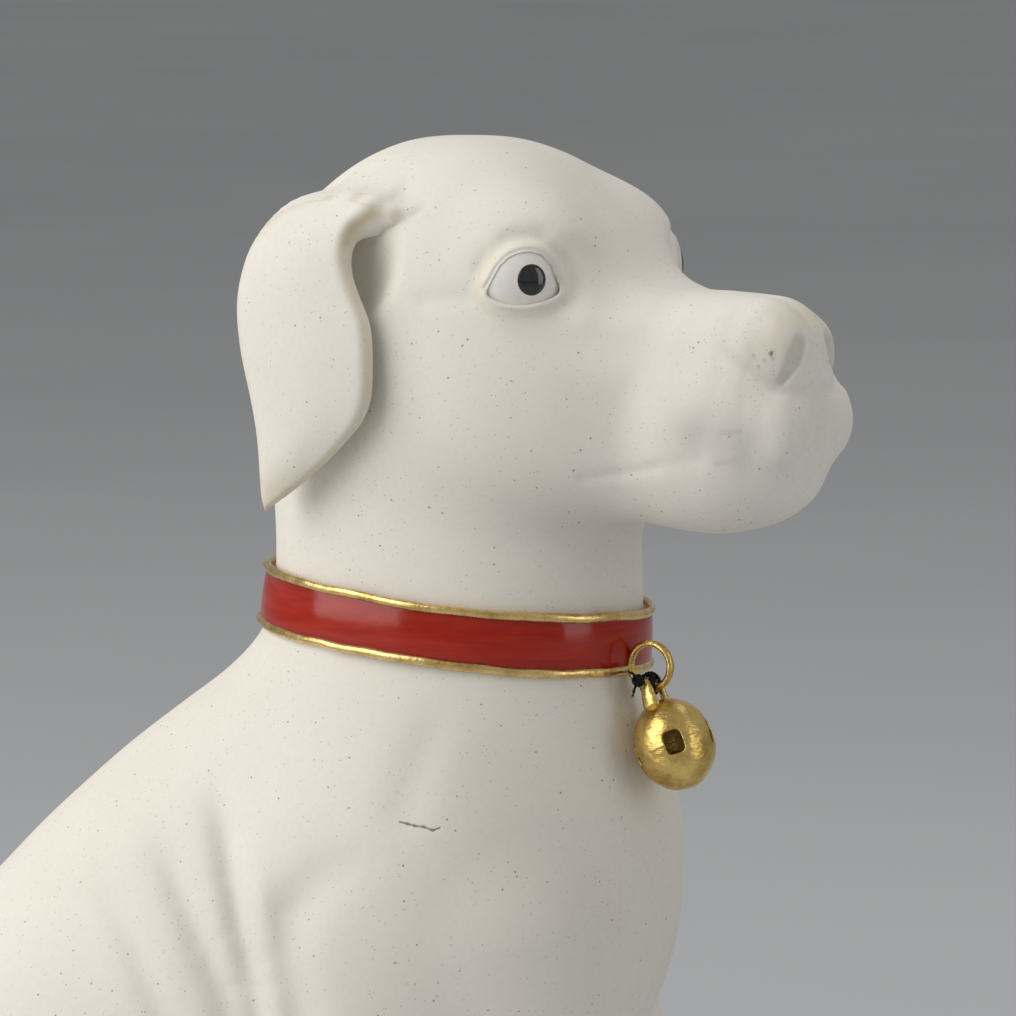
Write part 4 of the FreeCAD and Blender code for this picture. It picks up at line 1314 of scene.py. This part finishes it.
def make_thread():
    """Turns of two-ply thread round the bar and the ring, a knot of small loops, and frayed ends."""
    curve = bpy.data.curves.new("tie_thread_wraps", "CURVE")
    curve.dimensions = "3D"
    curve.bevel_depth = 0.17 * MM
    curve.bevel_resolution = 3

    def add(points, plies=2, ply_offset=0.14, pitch=1.1, size=1.0, taper=False):
        points = np.array(points, float)
        lengths = np.concatenate([[0], np.cumsum(np.linalg.norm(np.diff(points, axis=0), axis=1))])
        count = max(8, int(lengths[-1] / 0.16))
        at = np.linspace(0, lengths[-1], count)
        line = np.stack([np.interp(at, lengths, points[:, i]) for i in range(3)], 1)
        ahead = unit(np.gradient(line, axis=0))
        side = unit(np.cross(ahead, np.array([0.31, 0.22, 0.92])))
        up = np.cross(ahead, side)
        for ply in range(plies):
            turn = 2 * math.pi * (at / pitch + ply / plies)
            path = line + ply_offset * (side * np.cos(turn)[:, None] + up * np.sin(turn)[:, None])
            path = hang(path) * MM
            spline = curve.splines.new("POLY")
            spline.points.add(count - 1)
            spline.points.foreach_set("co", np.concatenate([path, np.ones((count, 1))], 1).ravel())
            radii = np.full(count, size)
            if taper:
                radii = size * np.linspace(1.0, 0.25, count)
            spline.points.foreach_set("radius", radii)

    def smooth(points, count=40):
        table = curve_table([(i, *p) for i, p in enumerate(points)], count)
        return table[1:].T

    # lashing turns, crossing over the bar and under the ring's wire
    for i, (turn, shift) in enumerate(((45, -0.28), (45, 0.28), (-45, 0.0), (-45, 0.5))):
        half, over, under = 1.84 + 0.03 * i, 1.06 + 0.08 * i, 3.12 + 0.05 * i
        c, s = math.cos(math.radians(turn)), math.sin(math.radians(turn))
        loop = []
        for t in np.linspace(0, 2 * math.pi, 60):
            u = half * math.sin(t)
            v = (over + under) / 2 * math.cos(t) + (over - under) / 2
            loop.append((u * c - shift * s, u * s + shift * c, v))
        add(loop)
    # strand to the knot, over the strap's near leg
    add(smooth([(-0.4, 0.2, 1.15), (-1.6, 0.3, 1.1), (-2.8, 0.3, 0.95), (-4.0, 0.4, 0.55)]))
    # knot: small tumbling loops
    knot = np.array((-4.35, 0.35, 0.25))
    for i in range(12):
        a, b = i * 1.9, i * 0.8 + 0.4
        e0 = np.array([math.cos(a), math.sin(a) * math.cos(b), math.sin(b)])
        e1 = np.cross(e0, [0.2, 0.9, 0.35])
        e1 /= np.linalg.norm(e1)
        e0 = np.cross(e1, e0 / np.linalg.norm(e0))
        e0 /= np.linalg.norm(e0)
        add([knot + (0.70 + 0.03 * i) * (e0 * math.cos(t) + e1 * math.sin(t))
             * (1 + 0.12 * math.sin(3 * t + i)) for t in np.linspace(0, 2 * math.pi, 26)])
    # cut ends that fray into single fibres
    ends = (((-4.8, 0.5, 0.9), (-5.4, 0.9, 1.7), (-5.9, 1.2, 2.0)),
            ((-4.6, 0.4, -0.4), (-5.0, 0.7, -1.3), (-4.9, 1.0, -2.2)))
    for number, end in enumerate(ends):
        add(smooth(end, 16))
        tip = np.array(end[-1])
        run = tip - np.array(end[-2])
        run /= np.linalg.norm(run)
        for i in range(7):
            a = i * 0.9 + number
            spread = np.array([math.cos(a), math.sin(a), math.cos(2.3 * a)]) * 0.45
            middle = tip + run * 0.5 + spread * 0.4
            add(smooth([tip, middle, tip + run * (0.9 + 0.1 * (i % 3)) + spread], 10), plies=1,
                ply_offset=0.0, size=0.34, taper=True)
    obj = bpy.data.objects.new("tie_thread_wraps", curve)
    bpy.context.scene.collection.objects.link(obj)
    finish_piece(obj, THREAD, "thread", "black_thread", "tie_thread")


make_bell()
make_thread()


# Stage, lights, camera

def make_stage():
    bpy.ops.mesh.primitive_circle_add(vertices=96, radius=14.0, fill_type="NGON", location=(0, 0, 0))
    floor = bpy.context.object
    floor.name = "studio_floor"
    material, tree, shader = new_material("floor_paper")
    vector = place(tree)
    colour = ramp(tree, noise(tree, vector, 2.0, 2.0), (0.3, (0.50, 0.51, 0.53)), (0.7, (0.53, 0.54, 0.56)))
    tree.links.new(colour, shader.inputs["Base Color"])
    shader.inputs["Roughness"].default_value = 0.85
    shader.inputs["Specular IOR Level"].default_value = 0.1
    floor.data.materials.append(material)


TARGET = np.array([2.3, -65.9, 209.4])
AZIMUTH, ELEVATION, DISTANCE = math.radians(283.0), math.radians(6.4), 1300.0
BACK = np.array([math.sin(AZIMUTH) * math.cos(ELEVATION), -math.cos(AZIMUTH) * math.cos(ELEVATION),
                 math.sin(ELEVATION)])
RIGHT = np.array([math.cos(AZIMUTH), math.sin(AZIMUTH), 0.0])


def make_camera():
    data = bpy.data.cameras.new("camera")
    data.sensor_width = 36.0
    data.lens = 36.0 * 6500.0 / 1016.0
    data.clip_start, data.clip_end = 0.05, 60.0
    camera = bpy.data.objects.new("camera", data)
    bpy.context.scene.collection.objects.link(camera)
    camera.location = (TARGET + BACK * DISTANCE) * MM
    camera.rotation_mode = "QUATERNION"
    camera.rotation_quaternion = Vector(-BACK).to_track_quat("-Z", "Y")
    bpy.context.scene.camera = camera


def area_light(name, aside, forward, up, width, height, power, colour=(1, 1, 1)):
    """A softbox placed from the figure in the camera's own directions, in metres."""
    level = np.array([BACK[0], BACK[1], 0.0])
    level /= np.linalg.norm(level)
    target = np.array([0.0, -0.04, 0.20])
    at = target + RIGHT * aside + level * forward + np.array([0, 0, up])
    data = bpy.data.lights.new(name, "AREA")
    data.shape = "RECTANGLE"
    data.size, data.size_y = width, height
    data.energy = power
    data.color = colour
    light = bpy.data.objects.new(name, data)
    bpy.context.scene.collection.objects.link(light)
    light.location = at
    light.rotation_mode = "QUATERNION"
    light.rotation_quaternion = Vector(target - at).to_track_quat("-Z", "Y")


def make_lights():
    area_light("key_softbox", -1.45, 0.62, 0.80, 1.9, 1.9, 27.0, (1.0, 0.985, 0.955))
    area_light("fill_softbox", 1.5, 0.75, 0.35, 0.6, 1.3, 3.6, (1.0, 0.985, 0.96))
    area_light("top_softbox", 0.1, -0.4, 1.7, 1.2, 1.2, 7.0, (1.0, 0.99, 0.97))
    world = bpy.data.worlds.new("studio")
    bpy.context.scene.world = world
    world.use_nodes = True
    tree = world.node_tree
    tree.nodes.clear()
    output = tree.nodes.new("ShaderNodeOutputWorld")
    around = node(tree, "ShaderNodeBackground")
    around.inputs["Color"].default_value = (0.82, 0.815, 0.80, 1)
    around.inputs["Strength"].default_value = 0.40
    seen = node(tree, "ShaderNodeBackground")
    seen.inputs["Color"].default_value = (0.46, 0.47, 0.49, 1)
    seen.inputs["Strength"].default_value = 1.0
    path = tree.nodes.new("ShaderNodeLightPath")
    blend = tree.nodes.new("ShaderNodeMixShader")
    tree.links.new(path.outputs["Is Camera Ray"], blend.inputs[0])
    tree.links.new(around.outputs[0], blend.inputs[1])
    tree.links.new(seen.outputs[0], blend.inputs[2])
    tree.links.new(blend.outputs[0], output.inputs["Surface"])
    bpy.context.scene.view_settings.view_transform = "Standard"


make_stage()
make_camera()
make_lights()
